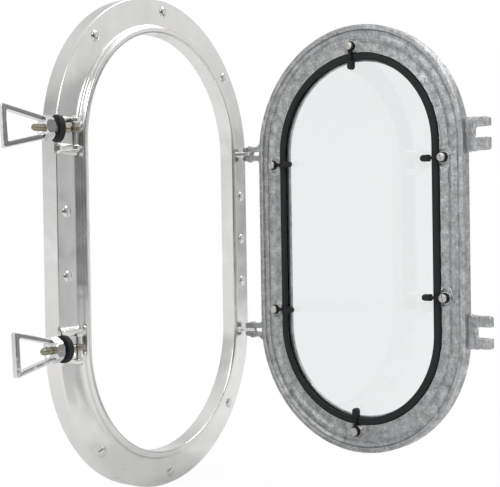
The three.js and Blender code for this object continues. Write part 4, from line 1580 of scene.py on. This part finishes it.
# Each light's name, place, target, size and power, in metres and watts.
LIGHTS = (
    ("key", (-1.6, -2.2, 1.9), (0, -0.1, 0), (1.6, 1.2), 22),
    ("fill", (-1.9, 0.5, 1.1), (0.1, -0.2, 0), (1.4, 1.0), 9),
    ("side", (1.2, -1.0, 1.9), (0.7, -0.5, -0.3), (1.2, 1.2), 22),
)
# The room's brightness by height, from straight down (0) to straight up (1).
ROOM_LOW, ROOM_HIGH = (0.30, 0.30, 0.31, 1), (0.95, 0.95, 0.95, 1)
ROOM_STOPS = ((0.38, 0.56), (0.47, 0.80), (0.55, 0.84), (0.62, 0.78), (0.8, 0.60))
# Darker and lighter parts of the room, which the metal mirrors: direction, where the cosine of the
# angle to it starts and ends the fall, and the light left in the middle.
ROOM_SIDES = (
    ((0.25, -0.968, 0.0), 0.86, 0.99, 0.28),
    ((-0.72, -0.69, 0.0), 0.35, 0.88, 0.16),
    ((0.834, -0.552, 0.0), 0.985, 0.998, 0.42),
    ((0.70, -0.714, 0.0), 0.985, 0.999, 1.35),
    ((-0.717, 0.698, 0.0), 0.95, 0.99, 1.15),
    ((-0.69, 0.66, 0.30), 0.93, 0.995, 0.5),
)


def build_camera():
    heading = Vector((math.sin(CAMERA_HEADING), math.cos(CAMERA_HEADING), 0.0))
    forward = heading * math.cos(CAMERA_PITCH) + Vector((0, 0, math.sin(CAMERA_PITCH)))
    level = Vector((math.cos(CAMERA_HEADING), -math.sin(CAMERA_HEADING), 0.0))
    upright = level.cross(forward)
    right = level * math.cos(CAMERA_ROLL) + upright * math.sin(CAMERA_ROLL)
    up = upright * math.cos(CAMERA_ROLL) - level * math.sin(CAMERA_ROLL)
    data = bpy.data.cameras.new("camera")
    data.lens = CAMERA_LENS
    data.sensor_width = 36.0
    data.clip_start = 0.01
    camera = bpy.data.objects.new("camera", data)
    axes = Matrix((right, up, -forward)).transposed().to_4x4()
    camera.matrix_world = Matrix.Translation(CAMERA_PLACE) @ axes
    bpy.context.scene.collection.objects.link(camera)
    bpy.context.scene.camera = camera


def build_light(name, place, target, size, power):
    data = bpy.data.lights.new(name, "AREA")
    data.shape = "RECTANGLE"
    data.size, data.size_y = size
    data.energy = power
    light = bpy.data.objects.new(name, data)
    aim = (Vector(target) - Vector(place)).to_track_quat("-Z", "Y")
    light.matrix_world = Matrix.Translation(place) @ aim.to_matrix().to_4x4()
    bpy.context.scene.collection.objects.link(light)


def seen_directly(tree):
    """One for rays from the camera or through glass, and nought for all others."""
    path = node(tree, "ShaderNodeLightPath")
    return sum_of(tree, (path, "Is Camera Ray"), (path, "Is Transmission Ray"), "MAXIMUM")


def build_world():
    """A white studio: plain white to look at, and softly graded where metal mirrors it."""
    world = bpy.data.worlds.new("studio")
    world.use_nodes = True
    tree = world.node_tree
    tree.nodes.clear()
    place = node(tree, "ShaderNodeTexCoord"), "Generated"
    split = node(tree, "ShaderNodeSeparateXYZ", {"Vector": place})
    height = mapped(tree, (split, "Z"), -1.0, 1.0)
    walls = node(tree, "ShaderNodeValToRGB", {"Fac": height})
    ramp = walls.color_ramp
    ramp.elements[0].position, ramp.elements[1].position = 0.0, 1.0
    ramp.elements[0].color, ramp.elements[1].color = ROOM_LOW, ROOM_HIGH
    for position, value in ROOM_STOPS:
        stop = ramp.elements.new(position)
        stop.color = (value, value, value * 1.005, 1)
    mirrored = walls, "Color"
    for direction, start, end, depth in ROOM_SIDES:
        side = node(
            tree, "ShaderNodeVectorMath", {0: place, 1: direction}, operation="DOT_PRODUCT",
        )
        shade = mapped(tree, (side, "Value"), start, end, 1.0, depth)
        shade[0].interpolation_type = "SMOOTHSTEP"
        mirrored = mixed(tree, 1.0, mirrored, shade, "MULTIPLY")
    room = mixed(tree, seen_directly(tree), mirrored, (1.0, 1.0, 1.0, 1))
    light = node(tree, "ShaderNodeBackground", {"Color": room}), "Background"
    node(tree, "ShaderNodeOutputWorld", {"Surface": light})
    bpy.context.scene.world = world


def build_floor():
    """A plain pale round floor just under the frame."""
    top = RING_LOW.z - FLOOR_GAP / MM
    low = top - FLOOR_THICKNESS
    radius = FLOOR_RADIUS / MM
    slab = turned([(0, low), (radius, low), (radius, top), (0, top)], 96)
    floor = mesh_object("floor", moved(slab, Matrix.Scale(MM, 4)))
    paint = bpy.data.materials.new("pale_floor")
    paint.use_nodes = True
    tree = paint.node_tree
    surface = tree.nodes["Principled BSDF"].inputs
    surface["Roughness"].default_value = 0.9
    surface["Specular IOR Level"].default_value = 0.0
    surface["Emission Strength"].default_value = FLOOR_GLOW
    seen = seen_directly(tree)
    for socket, mirrored, looked_at in FLOOR_TONES:
        tones = [(value, value, value, 1) for value in (mirrored, looked_at)]
        feed(tree, surface[socket], mixed(tree, seen, *tones))
    floor.data.materials.append(paint)


def build_stage():
    """The camera, the soft lights, the white room and the floor."""
    build_camera()
    build_world()
    build_floor()
    for light in LIGHTS:
        build_light(*light)
    bpy.context.scene.view_settings.view_transform = "Standard"


# ------------------------------------------------------------ operators and panel


class PORTHOLE_OT_frame(bpy.types.Operator):
    """Make the polished frame casting with its lugs and hinge tongues"""

    bl_idname = "porthole.frame"
    bl_label = "Frame casting"

    def execute(self, context):
        build_frame()
        return {"FINISHED"}


class PORTHOLE_OT_flange_screws(bpy.types.Operator):
    """Set the domed screws round the flange"""

    bl_idname = "porthole.flange_screws"
    bl_label = "Flange screws"

    def execute(self, context):
        build_flange_screws()
        return {"FINISHED"}


class PORTHOLE_OT_door(bpy.types.Operator):
    """Make the sand-cast door with its bosses, forks and hinge arms"""

    bl_idname = "porthole.door"
    bl_label = "Door casting"

    def execute(self, context):
        build_door()
        return {"FINISHED"}


class PORTHOLE_OT_glazing(bpy.types.Operator):
    """Make the rubber gasket and the pane"""

    bl_idname = "porthole.glazing"
    bl_label = "Gasket and glass"

    def execute(self, context):
        build_glazing()
        return {"FINISHED"}


class PORTHOLE_OT_clips(bpy.types.Operator):
    """Set the clips, their rubber tips and their screws round the glass"""

    bl_idname = "porthole.clips"
    bl_label = "Glazing clips"

    def execute(self, context):
        build_clips()
        return {"FINISHED"}


class PORTHOLE_OT_pins(bpy.types.Operator):
    """Make the hinge pins and the dog pins"""

    bl_idname = "porthole.pins"
    bl_label = "Pins"

    def execute(self, context):
        build_pins()
        return {"FINISHED"}


class PORTHOLE_OT_swing_bolts(bpy.types.Operator):
    """Make the threaded eye bolts of the dogs"""

    bl_idname = "porthole.swing_bolts"
    bl_label = "Swing bolts"

    def execute(self, context):
        build_swing_bolts()
        return {"FINISHED"}


class PORTHOLE_OT_washers(bpy.types.Operator):
    """Make the dished rubber washers"""

    bl_idname = "porthole.washers"
    bl_label = "Rubber washers"

    def execute(self, context):
        build_washers()
        return {"FINISHED"}


class PORTHOLE_OT_handles(bpy.types.Operator):
    """Make the handle nuts with their stirrups"""

    bl_idname = "porthole.handles"
    bl_label = "Handle nuts"

    def execute(self, context):
        build_handles()
        return {"FINISHED"}


class PORTHOLE_OT_stage(bpy.types.Operator):
    """Set the camera, the lights and the floor"""

    bl_idname = "porthole.stage"
    bl_label = "Stage"

    def execute(self, context):
        build_stage()
        return {"FINISHED"}


STEPS = (
    PORTHOLE_OT_frame, PORTHOLE_OT_flange_screws, PORTHOLE_OT_door, PORTHOLE_OT_glazing,
    PORTHOLE_OT_clips, PORTHOLE_OT_pins, PORTHOLE_OT_swing_bolts, PORTHOLE_OT_washers,
    PORTHOLE_OT_handles, PORTHOLE_OT_stage,
)


class PORTHOLE_PT_panel(bpy.types.Panel):
    """The sizes and colours, and a button for each step"""

    bl_label = "Opening porthole"
    bl_idname = "PORTHOLE_PT_panel"
    bl_space_type = "VIEW_3D"
    bl_region_type = "UI"
    bl_category = "Porthole"

    def draw(self, context):
        for setting, group in SETTINGS.items():
            box = self.layout.box()
            box.label(text=group.__doc__)
            for name in group.__annotations__:
                box.prop(getattr(context.scene, setting), name)
        column = self.layout.column(align=True)
        for step in STEPS:
            column.operator(step.bl_idname)


CLASSES = (*SETTINGS.values(), *STEPS, PORTHOLE_PT_panel)


def register():
    for cls in CLASSES:
        bpy.utils.register_class(cls)
    for setting, group in SETTINGS.items():
        setattr(bpy.types.Scene, setting, bpy.props.PointerProperty(type=group))


def unregister():
    for setting in SETTINGS:
        delattr(bpy.types.Scene, setting)
    for cls in reversed(CLASSES):
        bpy.utils.unregister_class(cls)


def main():
    register()
    for step in STEPS:
        group, name = step.bl_idname.split(".")
        getattr(getattr(bpy.ops, group), name)()


if __name__ == "__main__":
    main()
